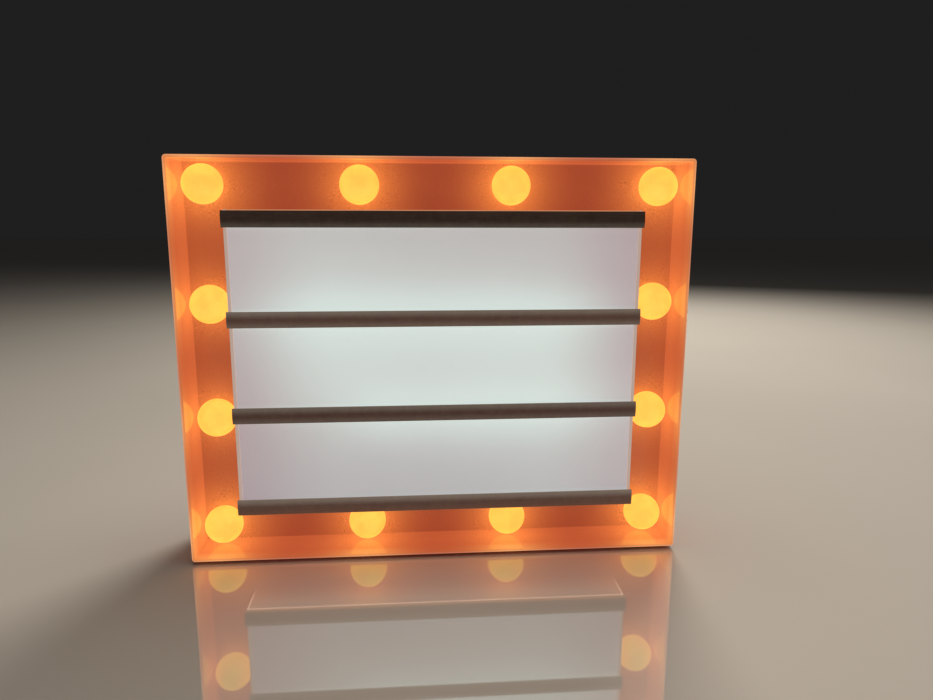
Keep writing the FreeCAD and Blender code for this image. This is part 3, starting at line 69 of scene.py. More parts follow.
def has_parts(item):
    """True for a colour, a vector or a socket that carries one."""
    if isinstance(item, Wire):
        return item.socket.type in {"VECTOR", "RGBA"}
    return isinstance(item, tuple)


class Wire:
    """A node's output socket, ready for arithmetic."""

    def __init__(self, tree, socket=None):
        self.tree = tree
        self.socket = socket

    def node(self, kind, settings=None, inputs=None, output=0):
        """Add any node: its type, then its settings, then the values or links of its sockets."""
        made = self.tree.nodes.new(kind)
        for name, setting in (settings or {}).items():
            setattr(made, name, setting)
        fill(self.tree, made, inputs or {})
        return Wire(self.tree, made.outputs[output])

    def join(self, operation, first, second):
        """One step of a sum, as a Math node or, where a side has parts, a Vector Math node."""
        parts = has_parts(first) or has_parts(second)
        pair = [(item,) * 3 if parts and isinstance(item, (int, float)) else item
                for item in (first, second)]
        kind = "ShaderNodeVectorMath" if parts else "ShaderNodeMath"
        return self.node(kind, {"operation": operation}, {0: pair[0], 1: pair[1]})

    def __add__(self, other):
        return self.join("ADD", self, other)

    def __sub__(self, other):
        return self.join("SUBTRACT", self, other)

    def __mul__(self, other):
        return self.join("MULTIPLY", self, other)

    def __pow__(self, other):
        return self.join("POWER", self, other)

    def __rsub__(self, other):
        return self.join("SUBTRACT", other, self)

    __radd__ = __add__
    __rmul__ = __mul__


print("signs that work on sockets: + - * **")

# %% [markdown]
# ## Starting a finish
#
# Each solid comes with a plain material in its slots. A finish could be laid on by clearing the
# slots and adding one, but then their number would change, so each slot is given the new
# material instead. Patterns take their places from Object coordinates. The solids' origins all
# lie at the model's own, so these are metres in one frame, and a pattern runs on across joints.

# %% Start a finish, and lay it on its solids
def begin(name):
    """A new material, and the place of each surface point in it."""
    material = bpy.data.materials.new(name)
    material.use_nodes = True
    # a wire without a socket knows only its tree, which is enough to add a first node
    return material, Wire(material.node_tree).node("ShaderNodeTexCoord", output="Object")


def surface(material, sockets):
    """Set or link the sockets of the material's own shader."""
    fill(material.node_tree, material.node_tree.nodes["Principled BSDF"], sockets)
    return material


def lay(material, *names):
    """Give solids this material in place of the plain one that they came with."""
    for name in names:
        for place in nodes[name].material_slots:
            place.material = material
    print(material.name, "on", len(names), "solids")


def linear(red, green, blue):
    """A colour from its screen values, 0 to 255, as light."""
    return tuple(c / 3294.6 if c <= 10 else ((c / 255 + 0.055) / 1.055) ** 2.4
                 for c in (red, green, blue))


print("white as light:", linear(255, 255, 255), "and mid grey:", linear(128, 128, 128))

# %% [markdown]
# ## Light from the bulbs
#
# The plastic lets light through and spreads it inside itself, so the face glows most beside a
# bulb and fades to a dark red halfway to the next one. Real scattering could be traced, but it
# is slow and noisy, and it doesn't survive an export. A falling exponential of the distance to
# each bulb, summed over the bulbs, gives the same look. The box is symmetrical, so folding the
# place into one quarter needs only that quarter's bulbs and their nearest neighbours.

# %% The places of the bulbs
globes = sorted(name for name in nodes if name.startswith("bulb_globe_"))
GLOBE_LOW, GLOBE_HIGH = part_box("bulb_globe_04")
GLOBE_RADIUS = (GLOBE_HIGH[0] - GLOBE_LOW[0]) / 2
BULB_DEPTH = GLOBE_LOW[1] + GLOBE_RADIUS
SHELL_LOW, SHELL_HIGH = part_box("front_shell")
CASE_MIDDLE = Vector((0, 0, (SHELL_LOW[2] + SHELL_HIGH[2]) / 2))


def bulb_middle(number):
    low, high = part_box(f"bulb_globe_{number:02d}")
    return ((low[0] + high[0]) / 2, BULB_DEPTH, (low[2] + high[2]) / 2 - CASE_MIDDLE.z)


CORNER, ROW, SIDE = bulb_middle(4), bulb_middle(3), bulb_middle(10)
# the bulbs at the sides are a little weaker
SIDE_SHARE = 0.8
NEAR_BULBS = [(CORNER, 1.0), (ROW, 1.0), (SIDE, SIDE_SHARE),
              ((-ROW[0], ROW[1], ROW[2]), 1.0), ((SIDE[0], SIDE[1], -SIDE[2]), SIDE_SHARE)]
print("bulbs:", len(globes), "corner, row and side at", CORNER, ROW, SIDE)


# %% The light that reaches a point
def part(place, axis):
    """The X, Y or Z of a place."""
    return place.node("ShaderNodeSeparateXYZ", inputs={0: place}, output=axis)


def size(value):
    """A value without its sign."""
    return value.node("ShaderNodeMath", {"operation": "ABSOLUTE"}, {0: value})


def folded(place):
    """The place counted from the middle of the case, with x and z made positive."""
    moved = place - tuple(CASE_MIDDLE)
    return moved.node("ShaderNodeCombineXYZ", inputs={
        "X": size(part(moved, "X")), "Y": part(moved, "Y"), "Z": size(part(moved, "Z"))})


def distance(place, spot):
    return place.node("ShaderNodeVectorMath", {"operation": "DISTANCE"}, {0: place, 1: spot},
                      output="Value")


def exponential(value):
    return value.node("ShaderNodeMath", {"operation": "EXPONENT"}, {0: value})


def bulb_light(quarter, fade):
    """Light of the nearest bulbs, 1 at a bulb's middle, falling by e in each fade."""
    first, *others = [exponential(distance(quarter, bulb) * (-1 / fade)) * share
                      for bulb, share in NEAR_BULBS]
    return sum(others, first)


MILLIMETRE = 0.001
LIGHT_FADE = 14 * MILLIMETRE
print("share of a bulb's light at the next one:", math.exp((ROW[0] - CORNER[0]) / LIGHT_FADE))

# %% [markdown]
# ## Where the parts of the shell are
#
# Case, cover and battery door are moulded in one gloss plastic. Seen lit, it isn't one colour:
# the face goes from orange to brick red, the lip's inner walls are brighter because they catch
# light from both sides, and the lip's front edge shows as a thin peach line, a painted highlight.
# The raised box is paler outside, where the screen's white light comes through its wall, and
# bright along its edges, where a highlight is painted. These places could be painted on a
# texture, which needs an unwrapped mesh. A mask made from the coordinates of the solids needs
# none, and it moves along if a size changes.

# %% Edges of the case
HAIR = 0.3 * MILLIMETRE
LIP_WALL, FACE_DEPTH = 1.8 * MILLIMETRE, 27.6 * MILLIMETRE
# from the edge of the screen to the outside of the raised box
BOX_MARGIN = 2.1 * MILLIMETRE
SCREEN_LOW, SCREEN_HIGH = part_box("screen_panel")
# half sizes in x and z
OUTER = (SHELL_HIGH[0], SHELL_HIGH[2] - CASE_MIDDLE.z)
LIP = (OUTER[0] - LIP_WALL, OUTER[1] - LIP_WALL)
BOX = (SCREEN_HIGH[0] + BOX_MARGIN, SCREEN_HIGH[2] - CASE_MIDDLE.z + BOX_MARGIN)
LIP_FRONT, SCREEN_FRONT = SHELL_LOW[1], SCREEN_LOW[1]
FACE = LIP_FRONT + FACE_DEPTH
print("lip", LIP, "raised box", BOX, "face at", FACE)


# %% Soft edges
def rise(value, low, high):
    """0 below low, 1 above high, a soft step between, and the reverse if low is above high."""
    return value.node("ShaderNodeMapRange", {"interpolation_type": "SMOOTHSTEP"},
                      {"Value": value, "From Min": low, "From Max": high})


def least(first, second):
    """The smaller of two."""
    return first.join("MINIMUM", first, second)


def within(x, z, half, past):
    """1 in a rectangle of those half sizes, 0 from past metres outside it, a hair between."""
    edges = [edge + past for edge in half]
    return rise(x, edges[0], edges[0] - HAIR) * rise(z, edges[1], edges[1] - HAIR)


print("a mask's edge is", HAIR, "m soft")

# %% Masks of the shell
# how far back these reach: the glow of the lip from its front, the screen's light inside the
# raised box and along its edges, and the loss of light behind the face
GLOW_REACH, WINDOW_REACH = 9 * MILLIMETRE, 5 * MILLIMETRE
EDGE_REACH, BACK_REACH = 10 * MILLIMETRE, 20 * MILLIMETRE


class ShellMasks:
    """A mask for each part of the shell, 1 on it and 0 elsewhere."""

    def __init__(self, place, quarter):
        x, y, z = (part(quarter, axis) for axis in "XYZ")
        self.recess = within(x, z, LIP, 2 * HAIR)
        self.wall = self.recess * (1 - within(x, z, LIP, -HAIR))
        self.rim = rise(y, LIP_FRONT + 3 * HAIR, LIP_FRONT + 2 * HAIR)
        # 0 at the rim's inner edge, 1 at the outside of the case
        self.to_outside = 1 - rise(x, OUTER[0], LIP[0]) * rise(z, OUTER[1], LIP[1])
        wall_front = rise(y, LIP_FRONT + GLOW_REACH, LIP_FRONT + MILLIMETRE)
        self.wall_front = self.wall * wall_front * (1 - self.rim)
        # the front of the raised box, and the inside of its wall, as far as the screen lights it
        box = within(x, z, BOX, HAIR)
        window = rise(y, SCREEN_FRONT + WINDOW_REACH, SCREEN_FRONT + 3 * MILLIMETRE)
        self.box_rim = least(box * rise(y, SCREEN_FRONT + 2 * HAIR, SCREEN_FRONT + HAIR)
                             + within(x, z, BOX, -4 * HAIR) * window, 1)
        self.beside_screen = rise(x, BOX[0] - 7 * HAIR, BOX[0] - 6 * HAIR)
        # the outside of the box's wall, how far forward a point of it lies, and its edges, where a
        # highlight is painted
        self.box_side = box * (1 - self.box_rim) * rise(y, FACE - HAIR, FACE - 2 * HAIR)
        self.forward = rise(y, FACE, SCREEN_FRONT)
        front_edge = rise(y, SCREEN_FRONT + 5 * HAIR, SCREEN_FRONT + 4 * HAIR)
        corner_edge = rise(x + z, sum(BOX) - 5 * HAIR, sum(BOX) - 3 * HAIR)
        near_front = rise(y, FACE, SCREEN_FRONT + EDGE_REACH)
        self.box_edges = least(front_edge + corner_edge, 1) * near_front
        self.behind = rise(y, FACE, FACE + BACK_REACH)
        self.underside = rise(part(place, "Z"), SHELL_LOW[2] + 2 * HAIR, SHELL_LOW[2] + HAIR)


print("the lip's glow reaches", GLOW_REACH, "m back from its front")

# %% [markdown]
# ## The shell's own light
#
# The sum starts with the light of the bulbs on the open face. On the outside only part of it
# gets through, less at the back and hardly any underneath. The lip's rim and the raised box add
# painted highlights, for the light that their edges gather. The glow could be left to the lamps
# and to reflection alone, but then an exported model would be dark. So the plastic gives off its
# own light, and its colour in the recess is painted darker, as shade, because reflection would
# bring the same red in a second time.

# %% Tones of the coral, as light
# the face far from any bulb, what the bulbs add to it, and what a wall adds
FACE_DARK, FACE_GLOW = (0.215, 0.023, 0.016), (1.50, 0.475, 0.074)
WALL_DARK = (0.13, 0.030, 0.007)
# painted light on the lip: a highlight on its edge close to a bulb, a highlight on its edge
# towards the outside, and light along its inner side near a bulb
EDGE_GLOW, PEACH_EDGE_HIGHLIGHT, EDGE_INNER = (7.0, 6.8, 2.0), (0.09, 0.068, 0.060), (6.5, 2.1, 0.4)
# the raised box, lit by the screen: its rim beside the screen, its rim above and below, its
# outside, and a painted highlight along its edges
BOX_RIM, BOX_EDGE = (0.44, 0.34, 0.285), (0.56, 0.23, 0.11)
BOX_SIDE, BOX_HIGHLIGHT_LINE = (0.10, 0.17, 0.13), (0.95, 0.70, 0.53)
# the plastic's own colour outside, and a darker colour painted as shade in the recess
CORAL_DEEP, CORAL_PALE = linear(214, 92, 72), linear(230, 112, 90)
RECESS_SHADED_CORAL = (0.15, 0.05, 0.035)
# the share of light that gets outside, and what is lost of it at the back and underneath
OUTSIDE_SHARE, BACK_LOSS, UNDERSIDE_LOSS = 0.42, 0.22, 0.85
print("share of light outside:", OUTSIDE_SHARE, "and at the back:", OUTSIDE_SHARE - BACK_LOSS)


# %% Light on each part of the shell
def mix(mask, off, on):
    """One colour where the mask is 0, another where it is 1."""
    ends = [(*tint, 1) if isinstance(tint, tuple) else tint for tint in (off, on)]
    return mask.node("ShaderNodeMix", {"data_type": "RGBA"}, {0: mask, 6: ends[0], 7: ends[1]},
                     output=2)


def shell_light(on, light):
    """The light that the plastic gives off, from its masks and the light of the bulbs."""
    open_light = light * FACE_GLOW + FACE_DARK
    not_below = 1 - on.underside * UNDERSIDE_LOSS
    through = on.recess + (1 - on.recess) * (OUTSIDE_SHARE - on.behind * BACK_LOSS) * not_below
    walls = open_light * through + on.wall * WALL_DARK
    # painted light and highlights: the lip's walls and rim near the bulbs, the raised box's edges
    inner_edge = on.wall * light * light * EDGE_INNER
    rim = open_light + on.to_outside * PEACH_EDGE_HIGHLIGHT + inner_edge + WALL_DARK
    gathered = on.wall_front * 0.45 + on.rim * (0.5 + on.to_outside * 0.5)
    from_screen = on.forward * BOX_SIDE + on.box_edges * BOX_HIGHLIGHT_LINE
    lamp = mix(on.rim, walls, rim)
    lamp = lamp + gathered * light * light * EDGE_GLOW + from_screen * on.box_side
    return mix(on.box_rim, lamp, mix(on.beside_screen, BOX_EDGE, BOX_RIM))


print("the lip's edges gather a tone of", EDGE_GLOW)

# %% [markdown]
# ## The coral plastic
#
# The plastic isn't clear: it holds slow clouds and fine grit, and close to the bulbs the strong
# light shows patches of bubbles. The lip's walls are polished, the cover and the battery door
# are pebbled. An image of all that would have a seam and a fixed size of grain. Noise in metres
# has neither, and one function makes the finish of all three mouldings, so that they match.

# %% Clouds, grit and bubbles
def noise(place, grain, detail=2.0, roughness=0.5):
    """Soft noise from 0 to 1 whose lumps are about grain metres across."""
    return place.node("ShaderNodeTexNoise", inputs={
        "Vector": place, "Scale": 1 / grain, "Detail": detail, "Roughness": roughness})


def relief(height, depth):
    """A bump whose full height is depth metres."""
    return height.node("ShaderNodeBump", inputs={
        "Height": height, "Distance": depth, "Strength": 1.0})


CLOUD_SIZE, PATCH_SIZE = 18 * MILLIMETRE, 11 * MILLIMETRE
RIPPLE_SIZE, GRIT_SIZE = 2.2 * MILLIMETRE, 1.0 * MILLIMETRE


def shell_speckle(place, light, cloud, grit):
    """Clouds and grit everywhere, and patches of bubbles where the light is strong."""
    bubbles = rise(grit, 0.58, 0.70) * 0.42 - rise(grit, 0.42, 0.32) * 0.36
    patches = rise(noise(place, PATCH_SIZE, detail=1), 0.42, 0.62)
    by_bulb = rise(light, 0.10, 0.26) * (patches * 0.8 + 0.2)
    return 1 + bubbles * by_bulb + (grit - 0.5) * 0.10 + (cloud - 0.5) * 0.14


print("clouds", CLOUD_SIZE, "m and grit", GRIT_SIZE, "m across")


# %% The finish of the shell
def coral_shell(name, glow, pebble):
    """glow is the share of the lamps' light that comes through, pebble the texture's height."""
    material, place = begin(name)
    quarter = folded(place)
    on = ShellMasks(place, quarter)
    light = bulb_light(quarter, LIGHT_FADE)
    cloud = noise(place, CLOUD_SIZE, detail=3)
    grit = noise(place, GRIT_SIZE, detail=3, roughness=0.6)
    height = noise(place, RIPPLE_SIZE, detail=1) * 0.6 + grit * 0.4
    outside_coral = mix(cloud, CORAL_DEEP, CORAL_PALE)
    # the recess and the front of the lip get the darker coral, as painted shade
    return surface(material, {
        "Base Color": mix(least(on.recess + on.rim, 1), outside_coral, RECESS_SHADED_CORAL),
        "Roughness": 0.30 + (grit - 0.5) * 0.16 - on.wall * 0.12,
        "Coat Weight": 0.35 + on.wall * 0.20,
        "Coat Roughness": 0.09,
        "IOR": 1.49,
        "Emission Color": shell_light(on, light) * shell_speckle(place, light, cloud, grit) * glow,
        "Emission Strength": 1.0,
        "Normal": relief(height * (1 - on.wall * 0.8), pebble)})


lay(coral_shell("coral_shell", glow=1.0, pebble=0.05 * MILLIMETRE), "front_shell")
lay(coral_shell("coral_cover", glow=0.62, pebble=0.22 * MILLIMETRE), "rear_cover", "battery_door")

# %% [markdown]
# ## Amber bulbs
#
# Each bulb is a frosted amber globe with a warm lamp behind it. The frost spreads the light so
# well that the globe looks like a flat disc from any side, with only its neck a deeper amber,
# painted as shade where the globe meets the face.
# That could be done with a glass shader and a lamp inside, which costs noise. Here the globe
# gives off its own light, in slow patches of two ambers, with fine frost in its gloss.

# %% Frosted amber
# two ambers in slow patches, and a deeper amber painted as shade on the neck
AMBER_DEEP, AMBER_PALE, AMBER_NECK_SHADE = (0.97, 0.53, 0.080), (0.99, 0.62, 0.095), (0.80, 0.33, 0.05)
# the neck's painted shade comes in between these depths
NECK_FROM, NECK_TO = BULB_DEPTH + 0.35 * GLOBE_RADIUS, BULB_DEPTH + 0.56 * GLOBE_RADIUS


def amber_globe():
    material, place = begin("amber_globe")
    # the neck is painted a deeper amber, in its colour and its light, as shade where the globe
    # meets the face
    neck_shade = rise(part(place, "Y"), NECK_FROM, NECK_TO)
    frost = noise(place, 0.5 * MILLIMETRE, detail=3, roughness=0.65)
    patch = noise(place, 9 * MILLIMETRE, detail=2)
    amber = mix(rise(patch, 0.30, 0.70), AMBER_DEEP, AMBER_PALE)
    return surface(material, {
        "Base Color": mix(neck_shade, linear(250, 196, 92), linear(240, 170, 70)),
        "Roughness": 0.34 + (frost - 0.5) * 0.12,
        "IOR": 1.49,
        "Emission Color": mix(neck_shade, amber, AMBER_NECK_SHADE) * (1 + (frost - 0.5) * 0.05),
        "Emission Strength": 0.93,
        "Normal": relief(frost, 0.03 * MILLIMETRE)})


lay(amber_globe(), *globes)

# %% [markdown]
# ## Opal screen
#
# The screen is one sheet of opal plastic, lit by strips of white lamps on the board behind it.
# They can't light it evenly: it is brightest in the middle, with a cool tint, greyer towards
# the top and bottom, and the shell tints its sides a dull pink. The sheet could be lit by real
# lamps through a scattering shader, which is slow and is lost in an export. Bell curves across
# the sheet give the bands instead, and a small product of x and z tips them, because a strip is
# never glued in quite level. Light that leaks past the rails draws a thin line along each.

# %% Rails, strips and tones of the sheet
RAIL_BOXES = [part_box(f"{name}_rail") for name in ("top", "upper", "lower", "bottom")]
RAIL_Z = [(low[2] + high[2]) / 2 - CASE_MIDDLE.z for low, high in RAIL_BOXES]
RAIL_HALF = (RAIL_BOXES[1][1][2] - RAIL_BOXES[1][0][2]) / 2
# each strip's middle and spread in z, and its share of the light
BROAD_Z, BROAD_SPREAD, BROAD_SHARE = 4 * MILLIMETRE, 38 * MILLIMETRE, 0.53
NARROW_Z, NARROW_SPREAD, NARROW_SHARE = 30 * MILLIMETRE, 13 * MILLIMETRE, 0.42
# what the strips' tilt adds at a metre of x and z
STRIP_TILT = -20.0
# the sheet's tint in strong light, in weak light and at its sides, and what its foot loses
SCREEN_COOL, SCREEN_GREY = (0.565, 0.665, 0.638), (0.386, 0.370, 0.374)
SCREEN_PINK, FOOT_LOSS = (0.330, 0.252, 0.276), (0.11, 0.08, 0.05)
print("rails at", RAIL_Z, "half height", RAIL_HALF)


# %% Light behind the sheet
def bell(value, middle, spread):
    """A bell curve, 1 at its middle."""
    return exponential((value - middle) ** 2 * (-0.5 / spread ** 2))


def strip_light(x, z):
    """Light of the strips over the height; the lowest one stops short on the left."""
    stops_short = rise(x, -25 * MILLIMETRE, -75 * MILLIMETRE) * 0.9
    band = bell(z, BROAD_Z, BROAD_SPREAD) * BROAD_SHARE + 0.06
    band = band + bell(z, NARROW_Z, NARROW_SPREAD) * NARROW_SHARE
    return band + bell(z, -NARROW_Z, NARROW_SPREAD) * NARROW_SHARE * (1 - stops_short)


def rail_leak(z):
    """1 close beside a rail, 0 further off."""
    to_rail = size(z - RAIL_Z[0])
    for middle in RAIL_Z[1:]:
        to_rail = least(size(z - middle), to_rail)
    return rise(to_rail - RAIL_HALF, 2.2 * MILLIMETRE, 0.2 * MILLIMETRE)


print("the strips are brightest at", BROAD_Z, NARROW_Z, "and", -NARROW_Z)


# %% The finish of the sheet
def opal_screen():
    material, place = begin("opal_screen")
    moved = place - tuple(CASE_MIDDLE)
    x, z = part(moved, "X"), part(moved, "Z")
    left_lamps = bell(x, -48 * MILLIMETRE, 26 * MILLIMETRE) * 0.06
    right_lamps = bell(x, 40 * MILLIMETRE, 26 * MILLIMETRE) * 0.08
    to_side = rise(size(x), 60 * MILLIMETRE, SCREEN_HIGH[0] + 10 * MILLIMETRE)
    to_foot = rise(z, -20 * MILLIMETRE, -85 * MILLIMETRE)
    cloud = noise(place, 30 * MILLIMETRE, detail=2)
    haze = noise(place, 0.9 * MILLIMETRE, detail=2)
    amount = strip_light(x, z) * (0.90 + left_lamps + right_lamps) * (1 - to_side * 0.72)
    amount = amount + x * z * STRIP_TILT + rail_leak(z) * 0.16 + (cloud - 0.5) * 0.06
    edge_tone = mix(to_side, SCREEN_GREY, SCREEN_PINK)
    lamp = mix(rise(amount, -0.05, 1.04), edge_tone, SCREEN_COOL)
    return surface(material, {
        "Base Color": mix(haze, linear(222, 222, 218), linear(232, 233, 229)),
        "Roughness": 0.42 + (haze - 0.5) * 0.10,
        "IOR": 1.49,
        "Emission Color": lamp * (1 + (haze - 0.5) * 0.012 - to_foot * FOOT_LOSS),
        "Emission Strength": 1.0,
        "Normal": relief(haze, 0.01 * MILLIMETRE)})


lay(opal_screen(), "screen_panel")

# %% [markdown]
# ## Card rails
#
# The rails are extruded strips of dark brown plastic, crowned in front. An extrusion carries
# fine lines along its length: noise stretched along x gives them. A rail's crest is dark, and
# its two slopes catch light: the middle rails from the screen on both sides, the bottom one
# from the screen above it and from the bulbs below, the top one only from the screen below.
# The bounced light could be left to the renderer, but then it would be lost in an export. Soft
# steps over each rail's height say the same, and travel with it.

# %% Extruded brown plastic, lit from above and below
RAIL_DARK, RAIL_PALE = linear(62, 44, 37), linear(120, 102, 91)
# light on a crest and from the screen, then from the bulbs on a lower slope and underneath
CREST_TONE, SCREEN_TONE = (0.056, 0.029, 0.021), (0.088, 0.084, 0.067)
BULB_TONE, UNDER_TONE, NO_TONE = (0.018, 0.004, 0.0), (0.22, 0.10, 0.035), (0.0, 0.0, 0.0)


def scaled(tone, share):
    return tuple(share * level for level in tone)


def rail_plastic(rail, above, crest, below, tone_below, tone_under):
    """Shares of light on the upper slope, crest and lower slope, and the tones from below."""
    material, place = begin(f"{rail}_plastic")
    low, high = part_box(rail)
    # -1 at the rail's lower edge, 1 at its upper edge
    height = (part(place, "Z") - (low[2] + high[2]) / 2) * (2 / (high[2] - low[2]))
    tone = rise(height, 0.0, 1.0) * scaled(SCREEN_TONE, above)
    tone = tone + rise(height, -0.05, -1.0) * scaled(tone_below, below)
    tone = tone + rise(height, -0.97, -1.0) * tone_under + scaled(CREST_TONE, crest)
    lines = noise(place * (0.02, 1.0, 1.0), 0.28 * MILLIMETRE, detail=3, roughness=0.6)
    scuffs = noise(place, 5 * MILLIMETRE, detail=4, roughness=0.65)
    wear = lines * 0.6 + scuffs * 0.4
    return surface(material, {
        "Base Color": mix(rise(wear, 0.25, 0.95), RAIL_DARK, RAIL_PALE),
        "Roughness": 0.44 + (lines - 0.5) * 0.22 + (scuffs - 0.5) * 0.12,
        "IOR": 1.49,
        "Emission Color": tone * (0.86 + wear * 0.28),
        "Emission Strength": 1.0,
        "Normal": relief(lines * 0.7 + scuffs * 0.3, 0.04 * MILLIMETRE)})


for rail, above, crest, below, tone_below, tone_under in (
        ("top_rail", 0.03, 0.18, 0.36, SCREEN_TONE, NO_TONE),
        ("upper_rail", 1.0, 1.0, 0.50, SCREEN_TONE, NO_TONE),
        ("lower_rail", 0.82, 0.76, 0.40, SCREEN_TONE, NO_TONE),
        ("bottom_rail", 1.0, 1.2, 1.0, BULB_TONE, UNDER_TONE)):
    lay(rail_plastic(rail, above, crest, below, tone_below, tone_under), rail)

# %% [markdown]
# ## Small plastics, rubber and leads
#
# Rings, tray, battery box, switch, socket, feet and leads are all simple mouldings. They could
# share one grey plastic, but in the hand each one differs: its gloss, how coarse its texture
# is, and how far its colour drifts. One function with those three as its choices makes them all.

# %% Plain moulded finishes
def moulded(name, deep, pale, roughness, grain, height):
    """A surface between two colours, whose texture has that grain and height in millimetres."""
    material, place = begin(name)
    texture = noise(place, grain * MILLIMETRE, detail=3, roughness=0.6)
    drift = noise(place, 9 * MILLIMETRE, detail=3)
    return surface(material, {
        "Base Color": mix(rise(drift * 0.7 + texture * 0.3, 0.3, 0.7), deep, pale),
        "Roughness": roughness + (texture - 0.5) * 0.25,
        "IOR": 1.49,
        "Normal": relief(texture, height * MILLIMETRE)})


lay(moulded("white_plastic", linear(214, 214, 208), linear(236, 236, 231),
            roughness=0.45, grain=0.8, height=0.03),
    "bulb_retaining_rings", "light_tray")
lay(moulded("black_plastic", linear(20, 20, 22), linear(38, 38, 41),
            roughness=0.48, grain=0.5, height=0.05),
    "board_components", "battery_box", "switch_body", "dc_socket")
lay(moulded("knob_plastic", linear(48, 48, 51), linear(70, 70, 74),
            roughness=0.40, grain=0.4, height=0.03),
    "switch_knob")
lay(moulded("foot_rubber", linear(24, 23, 22), linear(44, 42, 40),
            roughness=0.78, grain=0.35, height=0.06),
    "front_left_foot", "rear_left_foot", "front_right_foot", "rear_right_foot")
lay(moulded("red_lead", linear(150, 16, 14), linear(190, 30, 24),
            roughness=0.40, grain=0.3, height=0.01),
    "battery_lead_red")
lay(moulded("black_lead", linear(16, 16, 17), linear(34, 34, 36),
            roughness=0.42, grain=0.3, height=0.01),
    "battery_lead_black", "switch_lead", "socket_lead", "marquee_lead", "screen_lead")

# %% [markdown]
# ## Metal
#
# Screws and contacts are nickel-plated steel, the socket's nut is brass. Metal shows how it was
# made: turned parts have rings, stamped plates a brushed grain. Each could have a pattern of its
# own, but at this size noise squeezed in one direction stands for both, and a slower noise dulls
# the shine in places, as handling does.

# %% Plated steel and brass
def metal(name, deep, pale, roughness, squeeze):
    """squeeze is how much of the noise's detail is kept in x, y and z."""
    material, place = begin(name)
    brushed = noise(place * squeeze, 0.4 * MILLIMETRE, detail=3, roughness=0.6)
    dull = noise(place, 3 * MILLIMETRE, detail=4)
    return surface(material, {
        "Base Color": mix(brushed, deep, pale),
        "Metallic": 1.0,
        "Roughness": roughness + (brushed - 0.5) * 0.22 + rise(dull, 0.5, 0.8) * 0.15,
        "Normal": relief(brushed, 0.01 * MILLIMETRE)})


lay(metal("bright_steel", linear(176, 178, 182), linear(222, 224, 228),
          roughness=0.26, squeeze=(1.0, 0.15, 1.0)),
    "cover_screws", "tray_screws", "led_board_screws", "control_board_screws", "switch_screws",
    "battery_springs", "battery_contacts")
lay(metal("brass_nut", linear(176, 138, 66), linear(222, 186, 104),
          roughness=0.32, squeeze=(1.0, 0.2, 1.0)),
    "dc_socket_nut")

# %% [markdown]
# ## Circuit boards
#
# The lamp boards are white-lacquered, so that they throw light forward, and the control board is
# green. Lacquer over copper shows the tracks as slightly raised lines. They could be modelled as
# strips, thousands of faces inside a closed case. A brick pattern with thin gaps gives a net of
# straight lines cheaply, which reads as tracks at this size.

# %% Lacquered boards
def board(name, lacquer, track, pitch):
    """Lacquer with straight tracks under it, pitch metres apart."""
    material, place = begin(name)
    upright = place.node("ShaderNodeCombineXYZ", inputs={
        "X": part(place, "X"), "Y": part(place, "Z")})
    tracks = upright.node(
        "ShaderNodeTexBrick", {"offset": 0.37, "squash": 0.6, "squash_frequency": 3},
        {"Vector": upright, "Scale": 1.0, "Brick Width": 3.1 * pitch, "Row Height": pitch,
         "Mortar Size": 0.11 * pitch, "Mortar Smooth": 0.1}, output="Fac")
    weave = noise(place, 0.3 * MILLIMETRE, detail=2)
    shows = rise(tracks * 0.8 + (weave - 0.5) * 0.2, 0.0, 1.0)
    return surface(material, {
        "Base Color": mix(shows, lacquer, track),
        "Roughness": 0.34 + (weave - 0.5) * 0.12,
        "Coat Weight": 0.3,
        "Normal": relief(tracks + weave * 0.1, 0.035 * MILLIMETRE)})


lay(board("white_board", linear(226, 227, 222), linear(204, 207, 196), pitch=3.4 * MILLIMETRE),
    "top_led_board", "bottom_led_board", "left_led_board", "right_led_board", "screen_led_board")
lay(board("green_board", linear(14, 74, 40), linear(38, 118, 66), pitch=2.3 * MILLIMETRE),
    "control_board")

# %% [markdown]
# ## Lamps on the boards
#
# Each lamp is a small white frame with a pool of yellow resin in its face. Frame and resin could
# be two solids, but they are cast as one piece, so the finish tells them apart by their depth:
# the resin lies a hair behind the frame's front.

# %% Frame and resin
RESIN_DEPTH = 0.3 * MILLIMETRE


def led_lens(name, front, resin):
    """front is the depth of the lamp's face, and resin the colour of the pool behind it."""
    material, place = begin(name)
    depth = part(place, "Y")
    behind_frame = rise(depth, front + 0.5 * RESIN_DEPTH, front + 0.9 * RESIN_DEPTH)
    before_board = rise(depth, front + 2.2 * RESIN_DEPTH, front + 1.4 * RESIN_DEPTH)
    in_resin = behind_frame * before_board
    grain = noise(place, 0.25 * MILLIMETRE, detail=2)
    return surface(material, {
        "Base Color": mix(in_resin * 0.9 + grain * 0.1, linear(236, 236, 230), resin),
        "Roughness": 0.36 - in_resin * 0.2 + (grain - 0.5) * 0.1,
        "Emission Color": mix(in_resin, (0.02, 0.02, 0.02), resin),
        "Emission Strength": 1.2,
        "Normal": relief(grain, 0.01 * MILLIMETRE)})


for name, leds, resin in (("amber_lamp", "marquee_leds", linear(255, 190, 70)),
                          ("white_lamp", "screen_leds", linear(250, 236, 170))):
    lay(led_lens(name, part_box(leds)[0][1], resin), leds)

# %% [markdown]
# ## Battery cells
#
# Six AA cells lie side by side, every second one turned end for end. A cell's printed sleeve is
# dark for most of its length with a copper-coloured band at the button end, and bare steel at
# both ends. The sleeve carries no lettering. It could be a separate thin tube, but a sleeve is
# shrunk on so tightly that only its colour shows, so steps along the cell's length make it.
# Since the direction alternates, each finish is told which end of its box holds the button.

